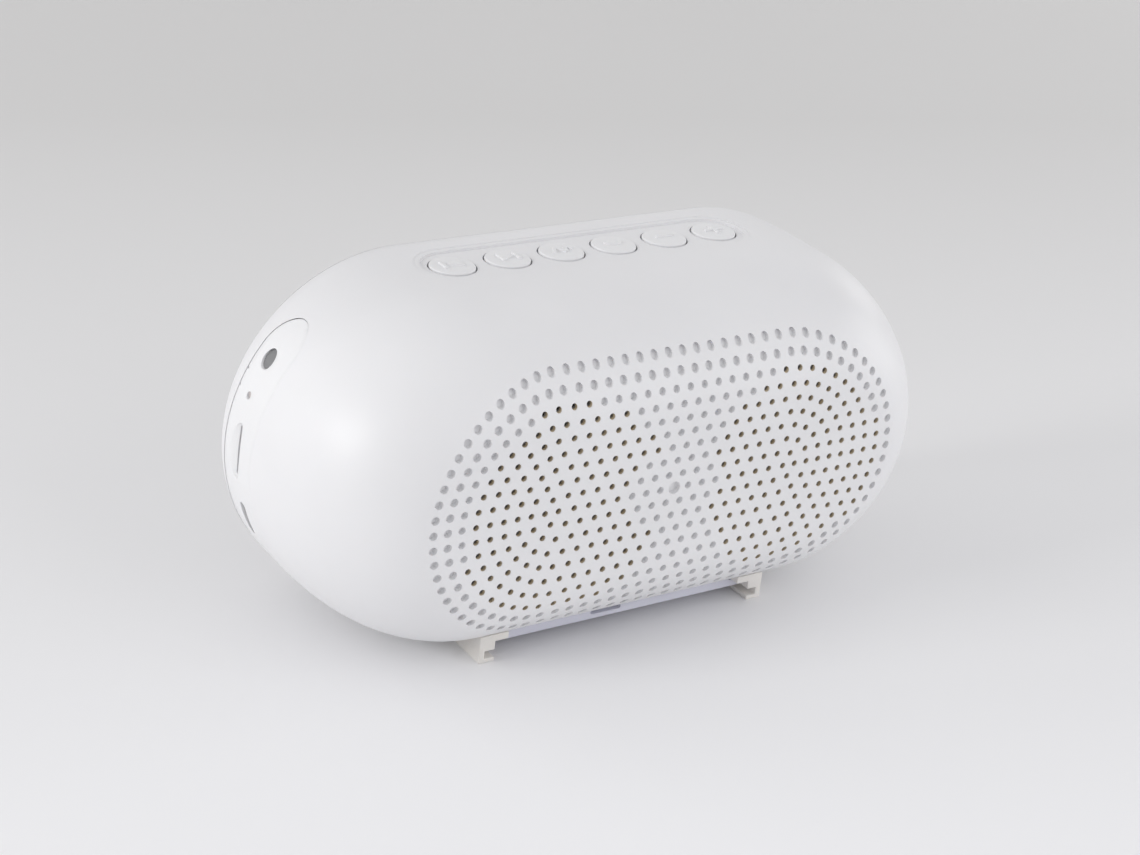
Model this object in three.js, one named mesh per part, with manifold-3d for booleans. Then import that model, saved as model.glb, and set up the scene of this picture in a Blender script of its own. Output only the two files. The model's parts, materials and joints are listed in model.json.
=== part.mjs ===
// Shower speaker: a pebble-shaped, two-driver portable speaker on a pair of slide rails.
//
// Millimetres, +Z up. X runs along the length, the grille faces -Y. The origin is on the
// surface that the rails stand on, under the middle of the body.
//
// Inside this file most pieces are drawn in "body coordinates": x along the length, y the
// depth measured back from the grille's front face, z the height from the body's long axis.
import * as THREE from 'three';
import * as BufferGeometryUtils from 'three/addons/utils/BufferGeometryUtils.js';
import Module from 'manifold-3d';

const wasm = await Module();
wasm.setup();

// ---------------------------------------------------------------- driving dimensions

const BODY_LENGTH = 148.6;
const BODY_HEIGHT = 72.4;
const BODY_DEPTH = 58;
const WALL = 2.4;
const GAP = 0.3; // clearance between pieces that touch

// the two end arcs of the front outline, and how far from the middle they are centred
const END_ARC = 38.5;
const END_CENTRE = BODY_LENGTH / 2 - END_ARC;
// the flat middle of the grille face, and how far back the front blends reach
const FACE_HALF_HEIGHT = BODY_HEIGHT / 2 - 20.8;
const FACE_HALF_LENGTH = BODY_LENGTH / 2 - 21.3;
const FRONT_BLEND_HEIGHTWISE = 29.4;
const FRONT_BLEND_LENGTHWISE = 39;
// the rear blend: how much the outline shrinks, and over what depth
const REAR_DROP_HEIGHTWISE = 7.7;
const REAR_DROP_LENGTHWISE = 11.6;
const REAR_BLEND_HEIGHTWISE = 9.1;
const REAR_BLEND_LENGTHWISE = 14.3;

const COVER_DEPTH = 5.8; // the rear cover takes this much of the body's depth
const COVER_LIP = 3.2; // how far the cover's skirt reaches into the shell
const SEAL_WIDTH = 1;
const END_ARC_STEPS = 12; // facets in each end arc

// grille
const HOLE_ROW = 3; // spacing of the rows and of the rings
const HOLE_PITCH = 3.31; // spacing along a straight row
const HOLE_RINGS = 9;
const HOLE_RADIUS = 0.6;
const HOLE_SIDES = 4;
const RING_CENTRE = 26.7; // where the two sets of rings are centred
const CLOSED_RADIUS = 10.2; // and none within this radius of the middle

// drivers
const DRIVER_RADIUS = 24;
const DRIVER_SPACING = 53.4; // between the two driver axes
const DRIVER_SHIFT = 2.2; // the pair sits this far to the right, clear of the ports
const DRIVER_SEAT_DEPTH = 6;
const DRIVER_SEAT_WIDTH = 2.8;
const OPEN_RADIUS = DRIVER_RADIUS - DRIVER_SEAT_WIDTH - GAP; // drilled area round a driver axis
const CONE_MARGIN = 5.4; // from the cone's rim out to the driver's rim
const CONE_RADIUS = DRIVER_RADIUS - CONE_MARGIN;
const CONE_THICKNESS = 0.7;
const CONE_TRAVEL = 1;
const MAGNET_RADIUS = 13;
const MAGNET_THICKNESS = 8;
const BASKET_DEPTH = 11;
const GASKET_THICKNESS = 0.7;
const CLOTH_DEPTH = 4.4; // front of the dust cloth, behind the perforated wall
const CLOTH_THICKNESS = 0.4;
const VOICE_COIL_RADIUS = 6.5;

// button row
const BUTTON_NAMES = ['previous', 'next', 'mode', 'call', 'volume_down', 'volume_up'];
const BUTTON_RADIUS = 4.9;
const BUTTON_SPACE = 2.7; // between neighbouring caps
const BUTTON_PITCH = 2 * BUTTON_RADIUS + BUTTON_SPACE;
const BUTTON_ROW_HALF = ((BUTTON_NAMES.length - 1) / 2) * BUTTON_PITCH; // from the middle to the last axis
const BUTTON_DEPTH = 38.2; // the row's distance behind the grille face
const BUTTON_CLEARANCE = 0.3;
const BUTTON_PROUD = 0.85; // height of the cap's crown above the recess floor
const BUTTON_FLANGE = 0.75; // how far the retaining flange spreads under the wall
const FLANGE_RELIEF = 0.25; // room above the flange
const BUTTON_TRAVEL = 0.6;
const RECESS_END = 1.25; // from the last cap to the recess's end
const RECESS_SIDE = 2; // and from the caps to its sides
const RECESS_HALF_LENGTH = BUTTON_ROW_HALF + BUTTON_RADIUS + RECESS_END;
const RECESS_HALF_WIDTH = BUTTON_RADIUS + RECESS_SIDE;
const RECESS_DEPTH = 0.5;

// port panel on the left end
const PANEL_DEPTH = 41; // its centre line's distance behind the grille face
const PANEL_HALF_WIDTH = 5.9;
const PANEL_HALF_HEIGHT = 27.3;
const PANEL_THICKNESS = 1.1;
const PANEL_SUNK = 0.1;
const JACK_HEIGHT = 20;
const JACK_RADIUS = 2.6;
const JACK_BORE = 1.8;
const JACK_BODY = 5.2;
const LED_HEIGHT = 13;
const LED_RADIUS = 0.8;
const CARD_HEIGHT = 2;
const CARD_SLOT_LENGTH = 11.4;
const CARD_SLOT_WIDTH = 1.5;
const CARD_BODY = 2.1;
const USB_HEIGHT = -11.6;
const USB_LENGTH = 7.6;
const USB_WIDTH = 2.8;

// circuit boards and battery
const BOARD_THICKNESS = 1.2;
const MAIN_BOARD_DEPTH = 37.9; // front face of the main board
const MAIN_BOARD_TOP_GAP = 4.5; // from the main board up to the key board
const MAIN_BOARD_BOTTOM = -21;
const MAIN_BOARD_LEFT = BODY_LENGTH / 2 - 14.3;
const MAIN_BOARD_RIGHT = 48;
const KEY_BOARD_END = 7.75; // the key board reaches past the last button's axis
const KEY_BOARD_SIDE = 4.7; // and past the caps' sides
const KEY_POST_SPACE = 0.15; // between a cap's flange and the posts beside it
const SWITCH_SIZE = 6;
const SWITCH_HEIGHT = 1.6;
const BATTERY_LENGTH = 50;
const BATTERY_HEIGHT = 34;
const BATTERY_THICKNESS = 8;
const BATTERY_SPACING = 2.6; // from the battery to the main board

// fastenings
const POST_X = BODY_LENGTH / 2 - 29.3;
const POST_Z = BODY_HEIGHT / 2 - 9.4;
const POST_RADIUS = 3;
const BOARD_POST_Z = 20;
const BOARD_POST_RADIUS = 2.4;
const SCREW_RADIUS = 1;
const PILOT_RADIUS = 1.3;
const SCREW_HEAD_RADIUS = 2.4;
const SCREW_HEAD_HEIGHT = 1.5;
const SCREW_LENGTH = 9;
const HEAD_SUNK = 0.6; // the cover screws' heads below the cover's back face
const DRIVE_WIDTH = 0.6; // the cross recess in each head
const DRIVE_REACH = 1.5;
const DRIVE_DEPTH = 0.8;
const BASE_SCREW_X = 20;
const BASE_SCREW_LENGTH = 5;
const BASE_BOSS_HEIGHT = 5;

// base: plate and slide rails
const BODY_CLEARANCE = 1.5; // from the resting surface up to the body's underside
const STAND_HEIGHT = BODY_HEIGHT / 2 + BODY_CLEARANCE; // and up to the body's axis
const RAIL_OUTER = 34.8; // outer face of a rail, from the middle
const RAIL_WEB = 1.3;
const RAIL_LIP = 3.6;
const RAIL_LIP_THICKNESS = 0.9;
const RAIL_GROOVE = 1.7;
const RAIL_FRONT = 10.4;
const RAIL_LENGTH = 34.6;
const RAIL_TONGUE = 3;
const RAIL_TONGUE_THICKNESS = 1.6;
const BASE_POCKET_HEIGHT = 6.4; // from the resting surface up to the pocket's ceiling
const BASE_FLOOR = 1.5;
const PLATE_FRONT = 13;
const PLATE_UNDERSIDE = 2.7; // height of the plate's lower face above the surface
const PLATE_SLOT_LENGTH = 7.4;
const PLATE_SLOT_HEIGHT = 0.9;
const PLATE_SLOT_DEPTH = 6;
const PLATE_SLOT_CENTRE = -3.4;

// ---------------------------------------------------------------- materials

const finish = (color, roughness, metalness = 0) =>
  new THREE.MeshStandardMaterial({ color, roughness, metalness });

const whiteShell = () => finish(0xe9e9ec, 0.32);
const whiteTrim = () => finish(0xe4e4e8, 0.38);
const creamPlastic = () => finish(0xe9e5df, 0.42);
const lilacPlastic = () => finish(0xc9c8d6, 0.45);
const blackRubber = () => finish(0x2a2a2c, 0.8);
const greenBoard = () => finish(0x2f6b45, 0.5);
const darkPlastic = () => finish(0x3a3a3e, 0.5);
const greyPlastic = () => finish(0x8b8b8d, 0.45);
const paperCone = () => finish(0x4a4038, 0.85);
const brownCloth = () => finish(0x5c4a38, 0.9);
const ferrite = () => finish(0x55565a, 0.6, 0.3);
const steel = () => finish(0xb9bcc0, 0.3, 0.9);
const blueFilm = () => finish(0x3f6fae, 0.45);
const clearPipe = () => finish(0xdfe6e8, 0.2);

// ---------------------------------------------------------------- solids

const model = new THREE.Group();
model.position.set(0, -BODY_DEPTH / 2, STAND_HEIGHT);

function toSolid(geometry) {
  const plain = geometry.clone();
  plain.deleteAttribute('normal');
  plain.deleteAttribute('uv');
  const merged = BufferGeometryUtils.mergeVertices(plain, 1e-4);
  return new wasm.Manifold(new wasm.Mesh({
    numProp: 3,
    vertProperties: new Float32Array(merged.attributes.position.array),
    triVerts: new Uint32Array(merged.index.array),
  }));
}

function toGeometry(solid) {
  const mesh = solid.getMesh();
  const geometry = new THREE.BufferGeometry();
  geometry.setAttribute('position', new THREE.BufferAttribute(mesh.vertProperties, mesh.numProp));
  geometry.setIndex(new THREE.BufferAttribute(mesh.triVerts, 1));
  return geometry;
}

function addPiece(name, shape, material) {
  const geometry = shape instanceof THREE.BufferGeometry ? shape : toGeometry(shape);
  const mesh = new THREE.Mesh(geometry, material);
  mesh.name = name;
  model.add(mesh);
  return mesh;
}

function subtractAll(solid, cutters) {
  return cutters.reduce((rest, cutter) => rest.subtract(cutter), solid);
}

function addAll(solid, others) {
  return others.reduce((sum, other) => sum.add(other), solid);
}

// a box between two corners
function box(x0, x1, y0, y1, z0, z1) {
  const geometry = new THREE.BoxGeometry(x1 - x0, y1 - y0, z1 - z0);
  geometry.translate((x0 + x1) / 2, (y0 + y1) / 2, (z0 + z1) / 2);
  return toSolid(geometry);
}

// a rod along one axis, from a start to an end, through the two other coordinates
function rodGeometry(axis, radius, start, end, a, b, sides = 24) {
  const geometry = new THREE.CylinderGeometry(radius, radius, end - start, sides);
  const middle = (start + end) / 2;
  if (axis === 'y') geometry.translate(a, middle, b);
  if (axis === 'x') {
    geometry.rotateZ(-Math.PI / 2);
    geometry.translate(middle, a, b);
  }
  if (axis === 'z') {
    geometry.rotateX(Math.PI / 2);
    geometry.translate(a, b, middle);
  }
  return geometry;
}

const rod = (...size) => toSolid(rodGeometry(...size));

// a turned piece: profile points are (radius, distance back), closed on itself
function turned(points, x, z, steps = 20) {
  const profile = points.map(([radius, y]) => new THREE.Vector2(radius, y));
  profile.push(profile[0].clone());
  const geometry = new THREE.LatheGeometry(profile, steps);
  geometry.translate(x, 0, z);
  return toSolid(geometry);
}

// a flat outline in x and z, given as a Shape, made solid from one depth to another
function slab(shape, y0, y1, arcSteps = 12) {
  const geometry = new THREE.ExtrudeGeometry(shape, {
    depth: y1 - y0, bevelEnabled: false, curveSegments: arcSteps,
  });
  geometry.rotateX(Math.PI / 2);
  geometry.translate(0, y1, 0);
  return toSolid(geometry);
}

function capsuleShape(halfLength, halfWidth) {
  const shape = new THREE.Shape();
  const straight = halfLength - halfWidth;
  shape.moveTo(-straight, -halfWidth);
  shape.lineTo(straight, -halfWidth);
  shape.absarc(straight, 0, halfWidth, -Math.PI / 2, Math.PI / 2, false);
  shape.lineTo(-straight, halfWidth);
  shape.absarc(-straight, 0, halfWidth, Math.PI / 2, Math.PI * 1.5, false);
  return shape;
}

// ---------------------------------------------------------------- the body's outer form

const heightwise = {
  middle: BODY_HEIGHT / 2,
  face: FACE_HALF_HEIGHT,
  frontBlend: FRONT_BLEND_HEIGHTWISE,
  rearDrop: REAR_DROP_HEIGHTWISE,
  rearBlend: REAR_BLEND_HEIGHTWISE,
};
const lengthwise = {
  middle: BODY_LENGTH / 2,
  face: FACE_HALF_LENGTH,
  frontBlend: FRONT_BLEND_LENGTHWISE,
  rearDrop: REAR_DROP_LENGTHWISE,
  rearBlend: REAR_BLEND_LENGTHWISE,
};

// half of the body's size at a depth: elliptical blends in front and behind a straight middle
function halfSize(profile, y, inset) {
  const front = THREE.MathUtils.clamp((y - inset) / (profile.frontBlend - inset), 0, 1);
  const rise = Math.sqrt(1 - (1 - front) ** 2);
  const rear = (y - (BODY_DEPTH - profile.rearBlend)) / profile.rearBlend;
  const fall = 1 - Math.sqrt(1 - THREE.MathUtils.clamp(rear, 0, 1) ** 2);
  return profile.face + (profile.middle - inset - profile.face) * rise - profile.rearDrop * fall;
}

function sectionRing(y, inset) {
  const height = halfSize(heightwise, y, inset);
  const arc = halfSize(lengthwise, y, inset) - END_CENTRE;
  const ring = [];
  for (const side of [1, -1]) {
    for (let i = 0; i <= END_ARC_STEPS; i += 1) {
      const angle = Math.PI * (i / END_ARC_STEPS - 0.5);
      ring.push(new THREE.Vector3(
        side * (END_CENTRE + arc * Math.cos(angle)), y, side * height * Math.sin(angle),
      ));
    }
  }
  return ring;
}

// depths of the rings: close together in the blends, where the form curves most
function ringDepths(from, to, inset) {
  const depths = [];
  const frontSteps = 8;
  for (let i = 0; i <= frontSteps; i += 1) {
    const sweep = 1 - Math.cos((Math.PI / 2) * (i / frontSteps));
    depths.push(inset + (FRONT_BLEND_LENGTHWISE - inset) * sweep);
  }
  const rearSteps = 4;
  for (let i = 0; i < rearSteps; i += 1) {
    const sweep = Math.sin((Math.PI / 2) * (i / rearSteps));
    depths.push(BODY_DEPTH - REAR_BLEND_LENGTHWISE * (1 - sweep));
  }
  const smallestStep = 0.5;
  const inside = depths.filter((y) => y > from + smallestStep && y < to - smallestStep);
  return [from, ...inside, to];
}

// a closed solid of the body's form between two depths, shrunk by an inset
function bodySolid(from, to, inset) {
  const rings = ringDepths(from, to, inset).map((y) => sectionRing(y, inset));
  const count = rings[0].length;
  const positions = rings.flat().flatMap((p) => [p.x, p.y, p.z]);
  const index = [];
  for (let k = 0; k < rings.length - 1; k += 1) {
    for (let i = 0; i < count; i += 1) {
      const a = k * count + i;
      const b = k * count + ((i + 1) % count);
      index.push(a, a + count, b + count, a, b + count, b);
    }
  }
  const frontMiddle = positions.length / 3;
  const last = (rings.length - 1) * count;
  positions.push(0, from, 0, 0, to, 0);
  for (let i = 0; i < count; i += 1) {
    const next = (i + 1) % count;
    index.push(frontMiddle, i, next);
    index.push(frontMiddle + 1, last + next, last + i);
  }
  const geometry = new THREE.BufferGeometry();
  geometry.setAttribute('position', new THREE.Float32BufferAttribute(positions, 3));
  geometry.setIndex(index);
  return toSolid(geometry);
}

// a wall that follows the body's form, like the skirt of a lid
function bodyBand(from, to, outerInset, innerInset) {
  const overrun = 1;
  return bodySolid(from, to, outerInset).subtract(bodySolid(from - overrun, to + overrun, innerInset));
}

// ---------------------------------------------------------------- derived places

const SEAM = BODY_DEPTH - COVER_DEPTH;
const RECESS_FLOOR = BODY_HEIGHT / 2 - RECESS_DEPTH;
const WALL_INSIDE_TOP = BODY_HEIGHT / 2 - WALL;
const BUTTON_CROWN = RECESS_FLOOR + BUTTON_PROUD;
const FLANGE_TOP = WALL_INSIDE_TOP - GAP;
const FLANGE_THICKNESS = 0.8;
const STEM_BOTTOM = FLANGE_TOP - FLANGE_THICKNESS - 1.1;
const STEM_RADIUS = 1.5;
const SWITCH_TOP = STEM_BOTTOM - BUTTON_TRAVEL - 0.1;
const KEY_BOARD_TOP = SWITCH_TOP - SWITCH_HEIGHT - GAP;
const KEY_BOARD_HALF_LENGTH = BUTTON_ROW_HALF + KEY_BOARD_END;
const KEY_BOARD_HALF_WIDTH = BUTTON_RADIUS + KEY_BOARD_SIDE;
const KEY_POST_X = 2 * BUTTON_PITCH;
const KEY_POST_RADIUS = 1.8;
const KEY_POST_OFFSET = BUTTON_RADIUS + BUTTON_FLANGE + KEY_POST_RADIUS + KEY_POST_SPACE;
const DRIVER_FRONT = DRIVER_SEAT_DEPTH + GAP + GASKET_THICKNESS + GAP;
const DRIVER_SEAT_INNER = DRIVER_RADIUS - DRIVER_SEAT_WIDTH;
const BASKET_BACK = DRIVER_FRONT + BASKET_DEPTH;
const POCKET_CEILING = BASE_POCKET_HEIGHT - STAND_HEIGHT;
const RAIL_TOP = POCKET_CEILING - GAP;
const RAIL_BACK = RAIL_FRONT + RAIL_LENGTH;
const PLATE_BOTTOM = PLATE_UNDERSIDE - STAND_HEIGHT;
const PLATE_MIDDLE = (PLATE_FRONT + RAIL_BACK) / 2;
const MAIN_BOARD_TOP = KEY_BOARD_TOP - BOARD_THICKNESS - MAIN_BOARD_TOP_GAP;
const BOARD_REAR = MAIN_BOARD_DEPTH + BOARD_THICKNESS;
const COMPONENT_FRONT = BOARD_REAR + GAP;
const BATTERY_BACK = MAIN_BOARD_DEPTH - BATTERY_SPACING;
const SKIRT_INSET = WALL + GAP + SEAL_WIDTH + GAP;

const buttonX = (index) => index * BUTTON_PITCH - BUTTON_ROW_HALF;
const driverX = (side) => (side * DRIVER_SPACING) / 2 + DRIVER_SHIFT;
const sides = [['left', -1], ['right', 1]];
const corners = [[-1, 1], [1, 1], [-1, -1], [1, -1]];

// x of the left end's outer face at a height
function leftEndX(z, inset) {
  const arc = BODY_LENGTH / 2 - inset - END_CENTRE;
  const height = BODY_HEIGHT / 2 - inset;
  return -END_CENTRE - arc * Math.sqrt(1 - (z / height) ** 2);
}

// ---------------------------------------------------------------- front shell

// centres of the grille's holes: straight rows between two sets of half rings
function grilleHoles() {
  const holes = [];
  const rowEnd = 7.5;
  for (let k = -HOLE_RINGS; k <= HOLE_RINGS; k += 1) {
    const shift = Math.abs(k) % 2 === 0 ? 0.5 : 0;
    for (let i = -rowEnd + shift; i <= rowEnd - shift; i += 1) {
      holes.push([i * HOLE_PITCH, k * HOLE_ROW]);
    }
  }
  for (const [, side] of sides) {
    holes.push([side * RING_CENTRE, 0]);
    for (let k = 1; k <= HOLE_RINGS; k += 1) {
      const step = Math.PI / 3 / k;
      const each = Math.floor(Math.PI / 2 / step + 1e-6);
      for (let i = -each; i <= each; i += 1) {
        const reach = k * HOLE_ROW;
        holes.push([side * (RING_CENTRE + reach * Math.cos(i * step)), reach * Math.sin(i * step)]);
      }
    }
  }
  return holes;
}

function isOpen([x, z]) {
  const toDriver = Math.min(...sides.map(([, side]) => Math.hypot(x - driverX(side), z)));
  return toDriver < OPEN_RADIUS && Math.hypot(x, z) > CLOSED_RADIUS;
}

function frontShell() {
  const cavity = bodySolid(WALL, SEAM + 1, WALL);
  const baseFloor = box(
    -RAIL_OUTER - WALL, RAIL_OUTER + WALL,
    0, RAIL_BACK + GAP + WALL,
    -BODY_HEIGHT, POCKET_CEILING + BASE_FLOOR,
  );
  let shell = bodySolid(0, SEAM, 0).subtract(cavity.subtract(baseFloor));

  // posts and seats stand on the inside of the wall, so the outer form trims them
  const form = bodySolid(0, SEAM, WALL / 2);
  const posts = [];
  for (const [sx, sz] of corners) {
    posts.push(rod('y', POST_RADIUS, 1, SEAM - COVER_LIP - GAP, sx * POST_X, sz * POST_Z, 16));
    posts.push(rod(
      'z', KEY_POST_RADIUS, KEY_BOARD_TOP + GAP, BODY_HEIGHT / 2 - WALL / 2,
      sx * KEY_POST_X, BUTTON_DEPTH + sz * KEY_POST_OFFSET, 12,
    ));
  }
  for (const side of [1, -1]) {
    posts.push(rod('y', BOARD_POST_RADIUS, 1, MAIN_BOARD_DEPTH - GAP, 0, side * BOARD_POST_Z, 16));
  }
  for (const [, side] of sides) {
    posts.push(turned([
      [DRIVER_SEAT_INNER, 1], [DRIVER_RADIUS, 1], [DRIVER_RADIUS, DRIVER_SEAT_DEPTH],
      [DRIVER_SEAT_INNER, DRIVER_SEAT_DEPTH],
    ], driverX(side), 0));
    posts.push(rod(
      'z', BOARD_POST_RADIUS, POCKET_CEILING, POCKET_CEILING + BASE_BOSS_HEIGHT,
      side * BASE_SCREW_X, PLATE_MIDDLE, 12,
    ));
  }
  shell = shell.add(addAll(posts[0], posts.slice(1)).intersect(form));

  const cuts = [basePocket(), buttonRecess(), panelPocket()];
  for (let i = 0; i < BUTTON_NAMES.length; i += 1) {
    const radius = BUTTON_RADIUS + BUTTON_CLEARANCE;
    cuts.push(rod('z', radius, WALL_INSIDE_TOP - 1, BODY_HEIGHT, buttonX(i), BUTTON_DEPTH));
    // room for the flange, where the wall curves down towards the ends
    const roomTop = FLANGE_TOP + FLANGE_RELIEF;
    const roomBottom = FLANGE_TOP - FLANGE_THICKNESS - BUTTON_TRAVEL - GAP;
    cuts.push(rod('z', radius + BUTTON_FLANGE, roomBottom, roomTop, buttonX(i), BUTTON_DEPTH));
  }
  cuts.push(...portCuts(PANEL_SUNK, WALL + 2));
  for (const [sx, sz] of corners) {
    const depth = SEAM - COVER_LIP;
    cuts.push(rod('y', PILOT_RADIUS, depth - SCREW_LENGTH, depth + 1, sx * POST_X, sz * POST_Z, 12));
  }
  for (const side of [1, -1]) {
    const depth = MAIN_BOARD_DEPTH;
    cuts.push(rod('y', PILOT_RADIUS, depth - SCREW_LENGTH, depth, 0, side * BOARD_POST_Z, 12));
    cuts.push(rod(
      'z', PILOT_RADIUS, POCKET_CEILING - 1, POCKET_CEILING + BASE_BOSS_HEIGHT + 1,
      side * BASE_SCREW_X, PLATE_MIDDLE, 12,
    ));
  }
  shell = subtractAll(shell, cuts);
  const drill = ([x, z]) => rod('y', HOLE_RADIUS, -1, DRIVER_SEAT_DEPTH, x, z, HOLE_SIDES);
  return subtractAll(shell, grilleHoles().filter(isOpen).map(drill));
}

function buttonRecess() {
  const geometry = new THREE.ExtrudeGeometry(
    capsuleShape(RECESS_HALF_LENGTH, RECESS_HALF_WIDTH),
    { depth: WALL + RECESS_DEPTH, bevelEnabled: false, curveSegments: 12 },
  );
  geometry.translate(0, BUTTON_DEPTH, RECESS_FLOOR);
  return toSolid(geometry);
}

function basePocket() {
  const half = RAIL_OUTER + GAP;
  return box(-half, half, RAIL_FRONT - GAP, RAIL_BACK + GAP, -BODY_HEIGHT, POCKET_CEILING);
}

// ---------------------------------------------------------------- port panel

// the panel's capsule outline, made solid along the length at the left end
function panelPrism(grow) {
  const geometry = new THREE.ExtrudeGeometry(
    capsuleShape(PANEL_HALF_HEIGHT + grow, PANEL_HALF_WIDTH + grow),
    { depth: BODY_LENGTH, bevelEnabled: false, curveSegments: 10 },
  );
  geometry.rotateY(-Math.PI / 2);
  geometry.translate(-END_CENTRE / 2, PANEL_DEPTH, 0);
  return toSolid(geometry);
}

// the layer of the left end between two depths under its surface
function endLayer(outerInset, innerInset) {
  const from = PANEL_DEPTH - PANEL_HALF_WIDTH - 2;
  const to = PANEL_DEPTH + PANEL_HALF_WIDTH + 2;
  return bodyBand(from, to, outerInset, innerInset);
}

function panelPocket() {
  return panelPrism(GAP).intersect(endLayer(-1, PANEL_SUNK + PANEL_THICKNESS + GAP));
}

// openings for the connectors; the connectors themselves are smaller by the clearance
function portCuts(nearInset, depth) {
  const start = -BODY_LENGTH / 2 - 1;
  const centre = COMPONENT_FRONT + JACK_BODY / 2;
  const through = (z) => leftEndX(z, nearInset) + depth + 3;
  const jackReach = through(JACK_HEIGHT + JACK_RADIUS);
  const cardY = COMPONENT_FRONT + CARD_BODY / 2;
  const usbY = COMPONENT_FRONT + USB_WIDTH / 2;
  const grow = GAP;
  const slot = (y, z, width, length) => box(
    start, through(Math.abs(z) + length / 2),
    y - width / 2 - grow, y + width / 2 + grow, z - length / 2 - grow, z + length / 2 + grow,
  );
  return [
    rod('x', JACK_RADIUS + grow, start, jackReach, centre, JACK_HEIGHT, 20),
    rod('x', LED_RADIUS + grow, start, through(LED_HEIGHT), centre, LED_HEIGHT, 12),
    slot(cardY, CARD_HEIGHT, CARD_SLOT_WIDTH, CARD_SLOT_LENGTH),
    slot(usbY, USB_HEIGHT, USB_WIDTH, USB_LENGTH),
  ];
}

function portPanel() {
  const plate = panelPrism(0).intersect(endLayer(PANEL_SUNK, PANEL_SUNK + PANEL_THICKNESS));
  return subtractAll(plate, portCuts(PANEL_SUNK, WALL));
}

function jack() {
  const y = COMPONENT_FRONT + JACK_BODY / 2;
  const nose = leftEndX(JACK_HEIGHT + JACK_RADIUS, PANEL_SUNK) - 0.2;
  const shoulder = leftEndX(JACK_HEIGHT + JACK_BODY / 2, WALL) + 1.6;
  const length = 11;
  const half = JACK_BODY / 2;
  const body = box(
    shoulder, shoulder + length, y - half, y + half, JACK_HEIGHT - half, JACK_HEIGHT + half,
  );
  const barrel = rod('x', JACK_RADIUS, nose, shoulder + 1, y, JACK_HEIGHT, 20);
  const bore = rod('x', JACK_BORE, nose - 1, shoulder + length - 1.5, y, JACK_HEIGHT, 20);
  return body.add(barrel).subtract(bore);
}

function cardSocket() {
  const y = COMPONENT_FRONT + CARD_BODY / 2;
  const half = CARD_SLOT_LENGTH / 2 + 1.2;
  const front = leftEndX(Math.abs(CARD_HEIGHT) + half, WALL) + 0.5;
  const back = front + 14;
  const body = box(
    front, back, COMPONENT_FRONT, COMPONENT_FRONT + CARD_BODY, CARD_HEIGHT - half, CARD_HEIGHT + half,
  );
  const mouth = box(
    front - 1, back - 1.5, y - 0.5, y + 0.5,
    CARD_HEIGHT - CARD_SLOT_LENGTH / 2, CARD_HEIGHT + CARD_SLOT_LENGTH / 2,
  );
  return body.subtract(mouth);
}

function usbSocket() {
  const y = COMPONENT_FRONT + USB_WIDTH / 2;
  const front = leftEndX(Math.abs(USB_HEIGHT) + USB_LENGTH / 2, PANEL_SUNK + PANEL_THICKNESS);
  const half = USB_LENGTH / 2;
  const body = box(
    front, front + 7, COMPONENT_FRONT, COMPONENT_FRONT + USB_WIDTH, USB_HEIGHT - half, USB_HEIGHT + half,
  );
  const wall = 0.4;
  const mouth = box(
    front - 1, front + 6, y - USB_WIDTH / 2 + wall, y + USB_WIDTH / 2 - wall,
    USB_HEIGHT - half + wall, USB_HEIGHT + half - wall,
  );
  const tongueHalf = half - 4 * wall;
  const tongue = box(
    front + 2 * wall, front + 6.5, y - 0.3, y + 0.3, USB_HEIGHT - tongueHalf, USB_HEIGHT + tongueHalf,
  );
  return body.subtract(mouth).add(tongue);
}

// ---------------------------------------------------------------- rear cover

function rearCover() {
  const lid = bodySolid(SEAM + GAP, BODY_DEPTH, 0);
  const skirt = bodyBand(SEAM - COVER_LIP, SEAM + GAP + 0.5, SKIRT_INSET, SKIRT_INSET + 1.4);
  const hollow = bodySolid(SEAM - 1, BODY_DEPTH - WALL, SKIRT_INSET + 1.4);
  const tubes = corners.map(([sx, sz]) =>
    rod('y', POST_RADIUS, SEAM - COVER_LIP, BODY_DEPTH - 1, sx * POST_X, sz * POST_Z, 16));
  const cuts = corners.flatMap(([sx, sz]) => [
    rod('y', SCREW_RADIUS + GAP, SEAM - COVER_LIP - 1, BODY_DEPTH + 1, sx * POST_X, sz * POST_Z, 12),
    rod(
      'y', SCREW_HEAD_RADIUS + GAP, BODY_DEPTH - HEAD_SUNK - SCREW_HEAD_HEIGHT - GAP, BODY_DEPTH + 1,
      sx * POST_X, sz * POST_Z, 16,
    ),
  ]);
  return subtractAll(addAll(lid.subtract(hollow).add(skirt), tubes), cuts);
}

const rearSeal = () => bodyBand(SEAM - COVER_LIP + 0.6, SEAM - GAP, WALL + GAP, WALL + GAP + SEAL_WIDTH);

// a screw with its head towards the back
function backScrew(x, z, headBack, length) {
  const head = rod('y', SCREW_HEAD_RADIUS, headBack - SCREW_HEAD_HEIGHT, headBack, x, z, 14);
  const shank = rod('y', SCREW_RADIUS, headBack - SCREW_HEAD_HEIGHT - length, headBack - 0.5, x, z, 8);
  const drive = [[DRIVE_REACH, DRIVE_WIDTH / 2], [DRIVE_WIDTH / 2, DRIVE_REACH]].map(([dx, dz]) =>
    box(x - dx, x + dx, headBack - DRIVE_DEPTH, headBack + 1, z - dz, z + dz));
  return subtractAll(head.add(shank), drive);
}

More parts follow.
